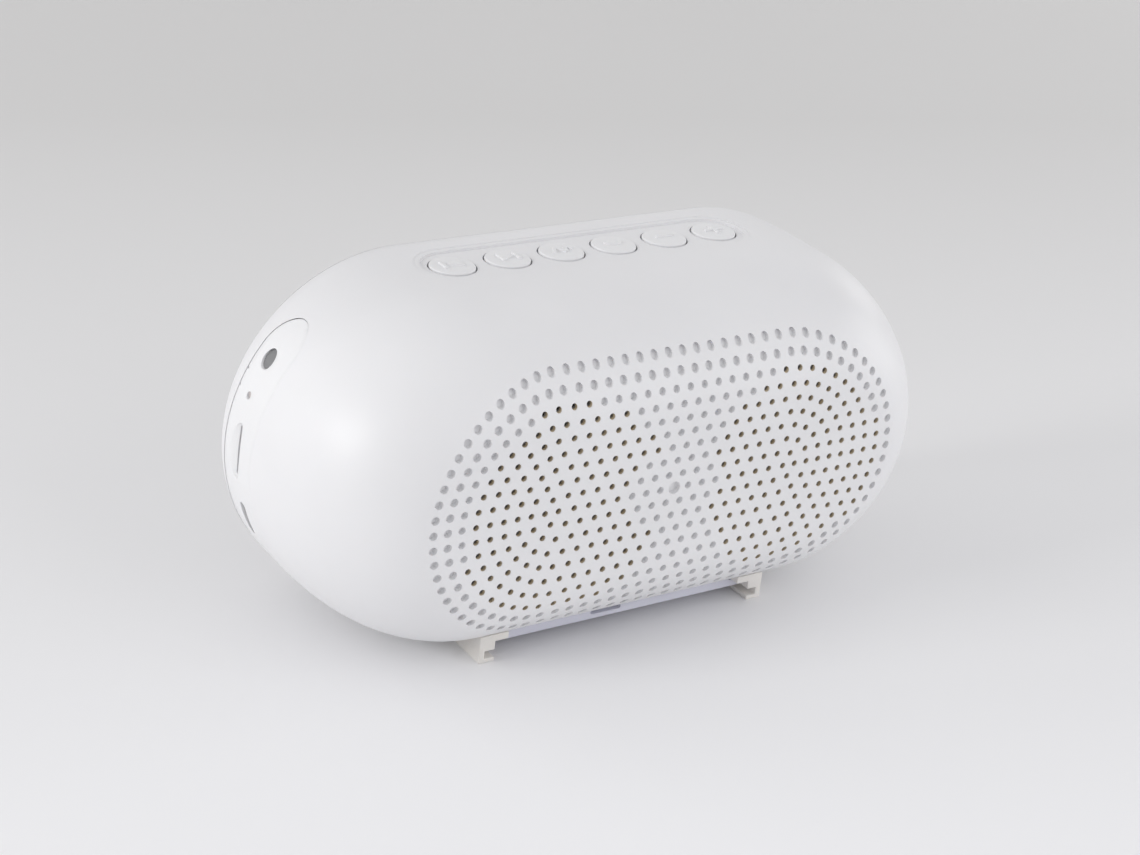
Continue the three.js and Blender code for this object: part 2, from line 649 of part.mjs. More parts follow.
// a screw that stands upright, with its head at the bottom
function baseScrew(x, y, headBottom, length) {
  const head = rod('z', SCREW_HEAD_RADIUS, headBottom, headBottom + SCREW_HEAD_HEIGHT, x, y, 14);
  const shank = rod('z', SCREW_RADIUS, headBottom + 0.5, headBottom + SCREW_HEAD_HEIGHT + length, x, y, 8);
  const drive = [[DRIVE_REACH, DRIVE_WIDTH / 2], [DRIVE_WIDTH / 2, DRIVE_REACH]].map(([dx, dy]) =>
    box(x - dx, x + dx, y - dy, y + dy, headBottom - 1, headBottom + DRIVE_DEPTH));
  return subtractAll(head.add(shank), drive);
}

// ---------------------------------------------------------------- buttons and key board

function buttonCap(x) {
  const inner = 0.9;
  const profile = [
    [0, BUTTON_CROWN], [BUTTON_RADIUS * 0.5, BUTTON_CROWN - 0.12], [BUTTON_RADIUS - 0.6, BUTTON_CROWN - 0.4],
    [BUTTON_RADIUS, BUTTON_CROWN - 0.9], [BUTTON_RADIUS, FLANGE_TOP],
    [BUTTON_RADIUS + BUTTON_FLANGE, FLANGE_TOP],
    [BUTTON_RADIUS + BUTTON_FLANGE, FLANGE_TOP - FLANGE_THICKNESS],
    [BUTTON_RADIUS - inner, FLANGE_TOP - FLANGE_THICKNESS], [BUTTON_RADIUS - inner, RECESS_FLOOR - 1],
    [STEM_RADIUS, RECESS_FLOOR - 1], [STEM_RADIUS, STEM_BOTTOM], [0, STEM_BOTTOM],
  ];
  const points = profile.map(([radius, z]) => new THREE.Vector2(radius, z)).reverse();
  const geometry = new THREE.LatheGeometry(points, 16);
  geometry.rotateX(Math.PI / 2);
  geometry.translate(x, BUTTON_DEPTH, 0);
  return toSolid(geometry);
}

function tactSwitch(x) {
  const half = SWITCH_SIZE / 2;
  const bottom = KEY_BOARD_TOP + GAP;
  const plungerHeight = 0.5;
  const plungerRadius = 1.6;
  const can = box(
    x - half, x + half, BUTTON_DEPTH - half, BUTTON_DEPTH + half, bottom, SWITCH_TOP - plungerHeight,
  );
  return can.add(rod('z', plungerRadius, bottom + plungerHeight, SWITCH_TOP, x, BUTTON_DEPTH, 16));
}

function keyBoard() {
  const board = box(
    -KEY_BOARD_HALF_LENGTH, KEY_BOARD_HALF_LENGTH,
    BUTTON_DEPTH - KEY_BOARD_HALF_WIDTH, BUTTON_DEPTH + KEY_BOARD_HALF_WIDTH,
    KEY_BOARD_TOP - BOARD_THICKNESS, KEY_BOARD_TOP,
  );
  // a board that reaches the cover screws' posts is notched round them
  const notches = sides.map(([, side]) =>
    rod('y', POST_RADIUS + GAP, 0, BODY_DEPTH, side * POST_X, POST_Z, 16));
  return subtractAll(board, notches);
}

// ---------------------------------------------------------------- drivers

function driverPieces(name, side) {
  const x = driverX(side);
  const gasketFront = DRIVER_SEAT_DEPTH + GAP;
  const gasketInner = DRIVER_SEAT_INNER + GAP;
  const clothRadius = DRIVER_SEAT_INNER - GAP;
  addPiece(`${name}_dust_cloth`, turned([
    [0, CLOTH_DEPTH], [clothRadius, CLOTH_DEPTH],
    [clothRadius, CLOTH_DEPTH + CLOTH_THICKNESS], [0, CLOTH_DEPTH + CLOTH_THICKNESS],
  ], x, 0), brownCloth());
  addPiece(`${name}_driver_gasket`, turned([
    [gasketInner, gasketFront], [DRIVER_RADIUS, gasketFront],
    [DRIVER_RADIUS, gasketFront + GASKET_THICKNESS], [gasketInner, gasketFront + GASKET_THICKNESS],
  ], x, 0), blackRubber());

  const flange = 1.2;
  const basketInner = MAGNET_RADIUS + 0.4;
  const coilHole = VOICE_COIL_RADIUS + 1.4;
  addPiece(`${name}_driver_basket`, turned([
    [gasketInner, DRIVER_FRONT], [DRIVER_RADIUS, DRIVER_FRONT], [DRIVER_RADIUS, DRIVER_FRONT + flange],
    [DRIVER_SEAT_INNER + 1, DRIVER_FRONT + flange], [basketInner + 1, BASKET_BACK],
    [coilHole, BASKET_BACK], [coilHole, BASKET_BACK - 1], [basketInner, BASKET_BACK - 1],
    [gasketInner, DRIVER_FRONT + 1.5 * flange],
  ], x, 0), darkPlastic());

  const surroundInner = CONE_RADIUS + GAP;
  const surroundOuter = DRIVER_SEAT_INNER;
  const roll = (surroundOuter - surroundInner) / 2;
  const rollMiddle = (surroundOuter + surroundInner) / 2;
  const rollDepth = DRIVER_FRONT + 1;
  const rollPoints = [];
  const rollSteps = 3;
  for (let i = 0; i <= rollSteps; i += 1) {
    const angle = (Math.PI * i) / rollSteps;
    rollPoints.push([rollMiddle - roll * Math.cos(angle), rollDepth - roll * Math.sin(angle)]);
  }
  for (let i = rollSteps; i >= 0; i -= 1) {
    const angle = (Math.PI * i) / rollSteps;
    const inside = roll - 0.5;
    rollPoints.push([rollMiddle - inside * Math.cos(angle), rollDepth - inside * Math.sin(angle)]);
  }
  addPiece(`${name}_surround`, turned(rollPoints, x, 0), blackRubber());

  const rim = DRIVER_FRONT + 1;
  const neck = rim + 5;
  addPiece(`${name}_cone`, turned([
    [0, neck - 2.6], [VOICE_COIL_RADIUS * 0.6, neck - 2], [VOICE_COIL_RADIUS, neck - CONE_THICKNESS],
    [CONE_RADIUS, rim - CONE_THICKNESS], [CONE_RADIUS, rim],
    [VOICE_COIL_RADIUS + 0.4, neck], [VOICE_COIL_RADIUS, BASKET_BACK - CONE_TRAVEL - 0.6],
    [VOICE_COIL_RADIUS - 0.6, BASKET_BACK - CONE_TRAVEL - 0.6], [VOICE_COIL_RADIUS - 0.6, neck],
    [VOICE_COIL_RADIUS * 0.6, neck - 1.2], [0, neck - 1.8],
  ], x, 0), paperCone());

  addPiece(`${name}_magnet`, turned([
    [0, BASKET_BACK + GAP], [MAGNET_RADIUS, BASKET_BACK + GAP],
    [MAGNET_RADIUS, BASKET_BACK + GAP + MAGNET_THICKNESS], [0, BASKET_BACK + GAP + MAGNET_THICKNESS],
  ], x, 0), ferrite());
}

// ---------------------------------------------------------------- main board and battery

function mainBoard() {
  const shape = new THREE.Shape();
  const chamfer = 8;
  shape.moveTo(-MAIN_BOARD_LEFT + chamfer, MAIN_BOARD_BOTTOM);
  shape.lineTo(MAIN_BOARD_RIGHT, MAIN_BOARD_BOTTOM);
  shape.lineTo(MAIN_BOARD_RIGHT, MAIN_BOARD_TOP);
  shape.lineTo(-MAIN_BOARD_LEFT + chamfer, MAIN_BOARD_TOP);
  shape.lineTo(-MAIN_BOARD_LEFT, MAIN_BOARD_TOP - chamfer);
  shape.lineTo(-MAIN_BOARD_LEFT, MAIN_BOARD_BOTTOM + chamfer);
  shape.closePath();
  const board = slab(shape, MAIN_BOARD_DEPTH, BOARD_REAR);
  const holes = [1, -1].map((side) => rod(
    'y', SCREW_RADIUS + GAP, MAIN_BOARD_DEPTH - 1, BOARD_REAR + 1, 0, side * BOARD_POST_Z, 12,
  ));
  return subtractAll(board, holes);
}

function boardComponent(x, z, length, height, thickness) {
  return box(
    x - length / 2, x + length / 2, COMPONENT_FRONT, COMPONENT_FRONT + thickness,
    z - height / 2, z + height / 2,
  );
}

// ---------------------------------------------------------------- base

function basePlate() {
  const half = RAIL_OUTER - RAIL_LIP - GAP;
  const ledge = RAIL_TOP - RAIL_TONGUE_THICKNESS;
  const lower = box(-half, half, PLATE_FRONT, RAIL_BACK, PLATE_BOTTOM, ledge - GAP);
  const upperHalf = half - RAIL_TONGUE;
  const upper = box(-upperHalf, upperHalf, PLATE_FRONT, RAIL_BACK, PLATE_BOTTOM + 0.5, RAIL_TOP);
  const slotZ = (PLATE_BOTTOM + RAIL_TOP) / 2 - 0.3;
  const slot = box(
    PLATE_SLOT_CENTRE - PLATE_SLOT_LENGTH / 2, PLATE_SLOT_CENTRE + PLATE_SLOT_LENGTH / 2,
    PLATE_FRONT - 1, PLATE_FRONT + PLATE_SLOT_DEPTH,
    slotZ - PLATE_SLOT_HEIGHT / 2, slotZ + PLATE_SLOT_HEIGHT / 2,
  );
  const screwHoles = sides.flatMap(([, side]) => [
    rod('z', SCREW_RADIUS + GAP, PLATE_BOTTOM - 1, RAIL_TOP + 1, side * BASE_SCREW_X, PLATE_MIDDLE, 12),
    rod(
      'z', SCREW_HEAD_RADIUS + GAP, PLATE_BOTTOM - 1, PLATE_BOTTOM + SCREW_HEAD_HEIGHT + GAP,
      side * BASE_SCREW_X, PLATE_MIDDLE, 16,
    ),
  ]);
  return subtractAll(lower.add(upper), [slot, ...screwHoles]);
}

function rail(side) {
  const inner = RAIL_OUTER - RAIL_LIP;
  const tongueInner = inner - RAIL_TONGUE;
  const bottom = -STAND_HEIGHT;
  const shape = new THREE.Shape();
  shape.moveTo(side * RAIL_OUTER, RAIL_TOP);
  shape.lineTo(side * RAIL_OUTER, bottom);
  shape.lineTo(side * inner, bottom);
  shape.lineTo(side * inner, bottom + RAIL_LIP_THICKNESS);
  shape.lineTo(side * (RAIL_OUTER - RAIL_WEB), bottom + RAIL_LIP_THICKNESS);
  shape.lineTo(side * (RAIL_OUTER - RAIL_WEB), bottom + RAIL_LIP_THICKNESS + RAIL_GROOVE);
  shape.lineTo(side * inner, bottom + RAIL_LIP_THICKNESS + RAIL_GROOVE);
  shape.lineTo(side * inner, RAIL_TOP - RAIL_TONGUE_THICKNESS);
  shape.lineTo(side * tongueInner, RAIL_TOP - RAIL_TONGUE_THICKNESS);
  shape.lineTo(side * tongueInner, RAIL_TOP);
  shape.closePath();
  return slab(shape, RAIL_FRONT, RAIL_BACK);
}

// ---------------------------------------------------------------- assembly

addPiece('front_shell', frontShell(), whiteShell());
addPiece('rear_cover', rearCover(), whiteShell());
addPiece('rear_seal', rearSeal(), blackRubber());
addPiece('port_panel', portPanel(), whiteTrim());
addPiece('aux_jack', jack(), greyPlastic());
addPiece('card_socket', cardSocket(), steel());
addPiece('usb_socket', usbSocket(), steel());

BUTTON_NAMES.forEach((name, i) => {
  addPiece(`${name}_button`, buttonCap(buttonX(i)), whiteTrim());
  addPiece(`${name}_switch`, tactSwitch(buttonX(i)), darkPlastic());
});
addPiece('key_board', keyBoard(), greenBoard());

for (const [name, side] of sides) {
  driverPieces(name, side);
  addPiece(`${name}_rail`, rail(side), creamPlastic());
}

addPiece('main_board', mainBoard(), greenBoard());
addPiece('wireless_module', boardComponent(28, 8, 18, 13, 2.2), darkPlastic());
addPiece('amplifier_chip', boardComponent(-22, 2, 9, 9, 1.4), darkPlastic());
addPiece('battery', box(
  -BATTERY_LENGTH / 2, BATTERY_LENGTH / 2, BATTERY_BACK - BATTERY_THICKNESS, BATTERY_BACK,
  -BATTERY_HEIGHT / 2, BATTERY_HEIGHT / 2,
), blueFilm());
addPiece('battery_pad', box(
  -BATTERY_LENGTH / 2 + 4, BATTERY_LENGTH / 2 - 4, BATTERY_BACK + GAP, MAIN_BOARD_DEPTH - GAP,
  -BATTERY_HEIGHT / 2 + 4, BATTERY_HEIGHT / 2 - 4,
), blackRubber());
addPiece('base_plate', basePlate(), lilacPlastic());

const pipeY = COMPONENT_FRONT + JACK_BODY / 2;
const pipeFront = leftEndX(LED_HEIGHT + LED_RADIUS, PANEL_SUNK);
const pipeBack = -MAIN_BOARD_LEFT - 2;
const ledHalf = 1.5;
addPiece('light_pipe', rod('x', LED_RADIUS, pipeFront, pipeBack, pipeY, LED_HEIGHT, 12), clearPipe());
addPiece('status_led', box(
  pipeBack + GAP, pipeBack + 5, COMPONENT_FRONT, pipeY + ledHalf, LED_HEIGHT - ledHalf, LED_HEIGHT + ledHalf,
), clearPipe());
addPiece('microphone', boardComponent(-50, 10, 4, 3, 1.1), steel());

corners.forEach(([sx, sz], i) => {
  const screw = backScrew(sx * POST_X, sz * POST_Z, BODY_DEPTH - HEAD_SUNK, SCREW_LENGTH);
  addPiece(`cover_screw_${i + 1}`, screw, steel());
});
[1, -1].forEach((side, i) => {
  const headBack = BOARD_REAR + GAP + SCREW_HEAD_HEIGHT;
  addPiece(`board_screw_${i + 1}`, backScrew(0, side * BOARD_POST_Z, headBack, SCREW_LENGTH - 1), steel());
  const screw = baseScrew(side * BASE_SCREW_X, PLATE_MIDDLE, PLATE_BOTTOM, BASE_SCREW_LENGTH);
  addPiece(`base_screw_${i + 1}`, screw, steel());
});

export default model;
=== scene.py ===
"""Looks for the shower speaker: smooth shells, a dimpled grille, embossed keys, rails and lights.

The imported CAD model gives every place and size. Shapes here are worked out in millimetres in the
body's own coordinates (x along the length, y back from the grille face, z up from the long axis)
and moved into the frame, in metres, when a mesh is made.
"""
import json
import math

import bpy
import bmesh
from mathutils import Matrix, Vector


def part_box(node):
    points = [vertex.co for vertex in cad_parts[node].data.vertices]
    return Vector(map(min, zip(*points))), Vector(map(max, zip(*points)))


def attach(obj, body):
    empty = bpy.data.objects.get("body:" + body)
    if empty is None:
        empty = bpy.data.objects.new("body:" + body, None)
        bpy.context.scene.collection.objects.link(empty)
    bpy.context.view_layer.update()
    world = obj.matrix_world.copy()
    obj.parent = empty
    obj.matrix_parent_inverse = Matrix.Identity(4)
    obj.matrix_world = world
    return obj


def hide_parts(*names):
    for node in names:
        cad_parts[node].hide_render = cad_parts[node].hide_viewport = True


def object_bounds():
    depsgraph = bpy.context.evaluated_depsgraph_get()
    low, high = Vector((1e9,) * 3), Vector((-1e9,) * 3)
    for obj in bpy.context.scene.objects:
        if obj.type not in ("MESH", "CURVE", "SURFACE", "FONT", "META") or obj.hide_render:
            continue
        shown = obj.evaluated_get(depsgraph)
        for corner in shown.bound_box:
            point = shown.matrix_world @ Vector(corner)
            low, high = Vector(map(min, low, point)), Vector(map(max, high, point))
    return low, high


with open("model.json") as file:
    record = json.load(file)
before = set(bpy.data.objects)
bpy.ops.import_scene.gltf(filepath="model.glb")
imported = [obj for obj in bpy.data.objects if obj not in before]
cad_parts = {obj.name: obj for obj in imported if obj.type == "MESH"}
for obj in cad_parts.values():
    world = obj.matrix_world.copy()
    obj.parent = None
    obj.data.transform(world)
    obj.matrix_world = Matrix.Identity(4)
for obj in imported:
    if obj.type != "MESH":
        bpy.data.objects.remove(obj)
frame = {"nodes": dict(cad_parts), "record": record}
cad_low, cad_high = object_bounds()
nodes = frame["nodes"]

MM = 0.001


def node_centre(name):
    """Middle of a CAD node's box, in millimetres of the frame."""
    low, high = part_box(name)
    return (low + high) / 2 / MM


def node_corners(name):
    """Low and high corner of a CAD node's box, in millimetres of the frame."""
    low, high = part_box(name)
    return low / MM, high / MM


# ---------------------------------------------------------------- sizes of the body

shell_low, shell_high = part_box("front_shell")
FRONT = cad_low.y / MM
DEPTH = (cad_high.y - cad_low.y) / MM
AXIS = (shell_low.z + shell_high.z) / 2 / MM
HALF_HEIGHT = (shell_high.z - shell_low.z) / 2 / MM
HALF_LENGTH = 74.3
SEAM = shell_high.y / MM - FRONT
COVER_FRONT = SEAM + 0.3
END_CENTRE = 35.8
WALL = 2.4
PROFILES = {
    "height": dict(middle=HALF_HEIGHT, face=15.4, front=29.4, drop=7.7, rear=9.1),
    "length": dict(middle=HALF_LENGTH, face=53.0, front=39.0, drop=11.6, rear=14.3),
}

BUTTONS = ["previous", "next", "mode", "call", "volume_down", "volume_up"]
BUTTON_Y = node_centre("next_button").y - FRONT
BUTTON_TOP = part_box("next_button")[1].z / MM - AXIS
PANEL_Y = node_centre("port_panel").y - FRONT


def to_frame(point):
    """A point in body millimetres, moved into the frame in metres."""
    x, y, z = point
    return Vector((x * MM, (y + FRONT) * MM, (z + AXIS) * MM))


# ---------------------------------------------------------------- materials

CLOTH_BANDS = 70.0
SCRATCHES = 600.0


def new_material(name):
    material = bpy.data.materials.new(name)
    material.use_nodes = True
    tree = material.node_tree
    shader = tree.nodes["Principled BSDF"]
    return material, tree, shader


def link(tree, output, target):
    tree.links.new(output, target)


def noise(tree, scale, detail, roughness=0.5):
    coordinates = tree.nodes.new("ShaderNodeTexCoord")
    texture = tree.nodes.new("ShaderNodeTexNoise")
    texture.inputs["Scale"].default_value = scale
    texture.inputs["Detail"].default_value = detail
    texture.inputs["Roughness"].default_value = roughness
    link(tree, coordinates.outputs["Object"], texture.inputs["Vector"])
    return texture.outputs["Fac"]


def ramp(tree, factor, low, high, start=0.3, end=0.7):
    node = tree.nodes.new("ShaderNodeValToRGB")
    node.color_ramp.elements[0].position = start
    node.color_ramp.elements[0].color = (*low, 1)
    node.color_ramp.elements[1].position = end
    node.color_ramp.elements[1].color = (*high, 1)
    link(tree, factor, node.inputs["Fac"])
    return node.outputs["Color"]


def spread(tree, factor, low, high):
    node = tree.nodes.new("ShaderNodeMapRange")
    node.inputs["To Min"].default_value = low
    node.inputs["To Max"].default_value = high
    link(tree, factor, node.inputs["Value"])
    return node.outputs["Result"]


def bump(tree, height, strength, distance):
    node = tree.nodes.new("ShaderNodeBump")
    node.inputs["Strength"].default_value = strength
    node.inputs["Distance"].default_value = distance
    link(tree, height, node.inputs["Height"])
    return node.outputs["Normal"]


def plastic(name, dark, light, smoothest, roughest, grain=900.0, grain_height=0.00002, scatter=0.0):
    """Moulded plastic: faint clouding in the colour, uneven gloss and a fine mould texture."""
    material, tree, shader = new_material(name)
    clouds = noise(tree, scale=38.0, detail=4.0)
    link(tree, ramp(tree, clouds, dark, light), shader.inputs["Base Color"])
    handling = noise(tree, scale=130.0, detail=6.0, roughness=0.6)
    link(tree, spread(tree, handling, smoothest, roughest), shader.inputs["Roughness"])
    texture = noise(tree, scale=grain, detail=2.0)
    link(tree, bump(tree, texture, 0.35, grain_height), shader.inputs["Normal"])
    shader.inputs["Subsurface Weight"].default_value = scatter
    shader.inputs["Subsurface Radius"].default_value = (0.0016, 0.0013, 0.0011)
    shader.inputs["Subsurface Scale"].default_value = 1.0
    shader.inputs["IOR"].default_value = 1.49
    return material


def cloth(name, dark, light):
    """Woven acoustic cloth: two crossing bands of thread."""
    material, tree, shader = new_material(name)
    coordinates = tree.nodes.new("ShaderNodeTexCoord")
    waves = []
    for direction in ("X", "Z"):
        wave = tree.nodes.new("ShaderNodeTexWave")
        wave.bands_direction = direction
        wave.inputs["Scale"].default_value = CLOTH_BANDS
        wave.inputs["Distortion"].default_value = 0.4
        link(tree, coordinates.outputs["Object"], wave.inputs["Vector"])
        waves.append(wave.outputs["Fac"])
    both = tree.nodes.new("ShaderNodeMath")
    both.operation = "MULTIPLY"
    link(tree, waves[0], both.inputs[0])
    link(tree, waves[1], both.inputs[1])
    link(tree, ramp(tree, both.outputs[0], dark, light, 0.1, 0.8), shader.inputs["Base Color"])
    link(tree, bump(tree, both.outputs[0], 0.6, 0.0001), shader.inputs["Normal"])
    shader.inputs["Roughness"].default_value = 0.9
    return material


def metal(name, dark, light, smoothest, roughest):
    """Plated sheet or turned steel with fine scratches along one way."""
    material, tree, shader = new_material(name)
    coordinates = tree.nodes.new("ShaderNodeTexCoord")
    stretch = tree.nodes.new("ShaderNodeMapping")
    stretch.inputs["Scale"].default_value = (1.0, 0.05, 1.0)
    texture = tree.nodes.new("ShaderNodeTexNoise")
    texture.inputs["Scale"].default_value = SCRATCHES
    link(tree, coordinates.outputs["Object"], stretch.inputs["Vector"])
    link(tree, stretch.outputs["Vector"], texture.inputs["Vector"])
    scratches = texture.outputs["Fac"]
    link(tree, ramp(tree, scratches, dark, light), shader.inputs["Base Color"])
    link(tree, spread(tree, scratches, smoothest, roughest), shader.inputs["Roughness"])
    link(tree, bump(tree, scratches, 0.2, 0.00002), shader.inputs["Normal"])
    shader.inputs["Metallic"].default_value = 1.0
    return material


WHITE = plastic("white_shell", (0.765, 0.763, 0.775), (0.79, 0.788, 0.80), 0.36, 0.44, scatter=0.04)
TRIM = plastic("white_trim", (0.775, 0.775, 0.785), (0.80, 0.80, 0.81), 0.33, 0.41, scatter=0.04)
CREAM = plastic("cream_plastic", (0.74, 0.715, 0.68), (0.79, 0.765, 0.735), 0.38, 0.48,
                scatter=0.08)
LILAC = plastic("lilac_plastic", (0.62, 0.62, 0.71), (0.67, 0.67, 0.75), 0.40, 0.52)
GREY = plastic("grey_plastic", (0.135, 0.135, 0.14), (0.17, 0.17, 0.175), 0.35, 0.5)
JACK_GREY = plastic("jack_grey", (0.17, 0.17, 0.175), (0.25, 0.25, 0.255), 0.4, 0.55)
DARK = plastic("dark_plastic", (0.02, 0.02, 0.022), (0.035, 0.035, 0.037), 0.4, 0.6)
RUBBER = plastic("black_rubber", (0.015, 0.015, 0.016), (0.03, 0.03, 0.03), 0.65, 0.85,
                 grain=1500.0, grain_height=0.00004)
BOARD = plastic("green_board", (0.02, 0.10, 0.045), (0.03, 0.14, 0.06), 0.25, 0.4, grain=300.0)
CONE = plastic("paper_cone", (0.035, 0.027, 0.02), (0.06, 0.047, 0.035), 0.8, 0.95,
               grain=700.0, grain_height=0.00008)
FILM = plastic("battery_film", (0.02, 0.08, 0.26), (0.03, 0.11, 0.33), 0.2, 0.4,
               grain=60.0, grain_height=0.0001)
FERRITE = plastic("ferrite", (0.05, 0.05, 0.052), (0.075, 0.075, 0.078), 0.5, 0.7,
                  grain=500.0, grain_height=0.00005)
PIPE = plastic("clear_pipe", (0.50, 0.46, 0.45), (0.58, 0.54, 0.53), 0.1, 0.2)
# Painted bounce light: a tan colour for the white walls of the through holes, standing in for light
# from the brown cloth behind them.
HOLE_WALL_PAINTED_BOUNCE = plastic("grille_hole_wall_painted_bounce", (0.56, 0.47, 0.33), (0.68, 0.59, 0.44), 0.5, 0.7)
CLOTH = cloth("brown_cloth", (0.05, 0.034, 0.02), (0.15, 0.11, 0.065))
SOCKET = metal("socket_metal", (0.42, 0.42, 0.43), (0.6, 0.6, 0.61), 0.25, 0.4)
STEEL = metal("screw_steel", (0.4, 0.4, 0.41), (0.58, 0.58, 0.6), 0.22, 0.38)

BY_SLOT = {
    "white_shell": WHITE, "white_trim": TRIM, "cream_plastic": CREAM, "lilac_plastic": LILAC,
    "grey_plastic": GREY, "dark_plastic": DARK, "black_rubber": RUBBER, "green_board": BOARD,
    "paper_cone": CONE, "battery_film": FILM, "ferrite": FERRITE, "clear_pipe": PIPE,
    "brown_cloth": CLOTH, "socket_metal": SOCKET, "screw_steel": STEEL,
}


def paint(obj, *materials):
    """The object's materials are exactly these."""
    obj.data.materials.clear()
    for material in materials:
        obj.data.materials.append(material)


def dress_cad_nodes():
    """Every CAD node that stays in view gets its slot's full material."""
    for part in frame["record"]["subparts"]:
        paint(nodes[part["node"]], BY_SLOT[part["material_slot"]])


# ---------------------------------------------------------------- mesh helpers

AXES = {"x": Vector((1, 0, 0)), "y": Vector((0, 1, 0)), "z": Vector((0, 0, 1))}


def make_object(name, vertices, faces):
    mesh = bpy.data.meshes.new(name)
    mesh.from_pydata([to_frame(v) for v in vertices], [], faces)
    mesh.validate()
    made = bpy.data.objects.new(name, mesh)
    bpy.context.scene.collection.objects.link(made)
    return made


def recalculate(obj):
    """Face normals turned outward."""
    work = bmesh.new()
    work.from_mesh(obj.data)
    bmesh.ops.recalc_face_normals(work, faces=work.faces)
    work.to_mesh(obj.data)
    work.free()
    return obj


def apply_modifiers(obj):
    graph = bpy.context.evaluated_depsgraph_get()
    finished = bpy.data.meshes.new_from_object(obj.evaluated_get(graph))
    obj.modifiers.clear()
    obj.data = finished
    return obj


def boolean(obj, other, operation):
    """Cuts, joins or intersects obj with other, and uses other up."""
    modifier = obj.modifiers.new("cut", "BOOLEAN")
    modifier.solver = "MANIFOLD"
    modifier.operation = operation
    modifier.object = other
    apply_modifiers(obj)
    bpy.data.objects.remove(other)
    return obj


def smooth(obj, degrees):
    """Smooth shading that keeps edges sharper than an angle."""
    limit = math.radians(degrees)
    work = bmesh.new()
    work.from_mesh(obj.data)
    for face in work.faces:
        face.smooth = True
    for edge in work.edges:
        faces = edge.link_faces
        edge.smooth = len(faces) == 2 and faces[0].normal.angle(faces[1].normal, 0.0) < limit
    work.to_mesh(obj.data)
    work.free()
    return obj


def weighted_normals(obj):
    """Large faces keep their own shading beside the small faces of a cut."""
    modifier = obj.modifiers.new("normals", "WEIGHTED_NORMAL")
    modifier.keep_sharp = True
    modifier.weight = 50
    return apply_modifiers(obj)


def bevel(obj, width, segments, degrees):
    """Rounded edges where two faces meet at more than an angle."""
    modifier = obj.modifiers.new("bevel", "BEVEL")
    modifier.width = width * MM
    modifier.segments = segments
    modifier.limit_method = "ANGLE"
    modifier.angle_limit = math.radians(degrees)
    modifier.use_clamp_overlap = True
    return apply_modifiers(obj)


def tube_faces(start, rows, count):
    """Faces of a tube through rows of equally many points, with a cap at both ends."""
    faces = []
    for k in range(rows - 1):
        for i in range(count):
            a = start + k * count + i
            b = start + k * count + (i + 1) % count
            faces.append((a, a + count, b + count, b))
    last = start + (rows - 1) * count
    faces.append(tuple(range(start, start + count)))
    faces.append(tuple(reversed(range(last, last + count))))
    return faces


def loft(name, rings):
    """A solid through rings of equally many points, capped at both ends."""
    vertices = [p for ring in rings for p in ring]
    return recalculate(make_object(name, vertices, tube_faces(0, len(rings), len(rings[0]))))


def lathe(name, profile, centre, axis, steps):
    """A turned solid. profile is (radius, place along the axis); it starts and ends on the axis.

    The axis is x, y or z, or any direction as a vector.
    """
    vertices, faces, rows = [], [], []
    along_axis = AXES[axis] if isinstance(axis, str) else axis.normalized()
    across = AXES["z"].cross(along_axis)
    across = across.normalized() if across.length > 0.01 else AXES["x"]
    other = along_axis.cross(across)

    def place(radius, along, angle):
        turn = across * math.cos(angle) + other * math.sin(angle)
        return tuple(Vector(centre) + turn * radius + along_axis * along)

    for radius, along in profile:
        if radius < 1e-6:
            rows.append([len(vertices)])
            vertices.append(place(0, along, 0))
        else:
            rows.append(list(range(len(vertices), len(vertices) + steps)))
            vertices.extend(place(radius, along, 2 * math.pi * i / steps) for i in range(steps))
    for one, two in zip(rows, rows[1:]):
        for i in range(steps):
            j = (i + 1) % steps
            corners = [one[i % len(one)], one[j % len(one)], two[j % len(two)], two[i % len(two)]]
            face = list(dict.fromkeys(corners))
            if len(face) > 2:
                faces.append(face)
    return recalculate(make_object(name, vertices, faces))


def rod(radius, start, end):
    """Profile of a plain round rod, for lathe."""
    return [(0, start), (radius, start), (radius, end), (0, end)]


def prism(name, outline, axis, low, high):
    """A flat outline of (a, b) points made solid along an axis."""
    def place(a, b, along):
        return {"x": (along, a, b), "y": (a, along, b), "z": (a, b, along)}[axis]

    count = len(outline)
    vertices = [place(a, b, low) for a, b in outline] + [place(a, b, high) for a, b in outline]
    faces = [tuple(range(count)), tuple(reversed(range(count, 2 * count)))]
    faces += [(i, (i + 1) % count, (i + 1) % count + count, i + count) for i in range(count)]
    return recalculate(make_object(name, vertices, faces))


def capsule(centre_a, centre_b, half_length, half_width, steps, along_a=True):
    """Outline of a long hole with round ends; equal half sizes make a circle."""
    points = []
    straight = half_length - half_width
    for side in (1, -1):
        for i in range(steps + 1):
            angle = math.pi * (i / steps - 0.5)
            u = side * (straight + half_width * math.cos(angle))
            v = side * half_width * math.sin(angle)
            points.append((centre_a + u, centre_b + v) if along_a else (centre_a - v, centre_b + u))
    return points


# ---------------------------------------------------------------- the body's form

# fineness: points on an end's arc, sections in the front curve, sections in the rear curve
PANEL_FINENESS = (96, 40, 20)
RECESS_FINENESS = (96, 30, 20)
COVER_FINENESS = (96, 30, 24)
SHELL_FINENESS = (64, 30, 16)
UNDERSIDE_FINENESS = (48, 20, 12)
GRILLE_FINENESS = (32, 20, 4)
CAVITY_FINENESS = (32, 14, 6)
HOLLOW_FINENESS = (32, 8, 8)

BEHIND_FACE = 20  # where solids for the top, the end and the underside start


def half_size(kind, y, inset):
    """Half the body's height or length at a depth, with its surface moved in by an inset."""
    p = PROFILES[kind]
    front = min(max((y - inset) / (p["front"] - inset), 0.0), 1.0)
    rise = math.sqrt(1 - (1 - front) ** 2)
    rear = min(max((y - (DEPTH - p["rear"])) / p["rear"], 0.0), 1.0)
    fall = 1 - math.sqrt(1 - rear**2)
    return p["face"] + (p["middle"] - inset - p["face"]) * rise - p["drop"] * fall


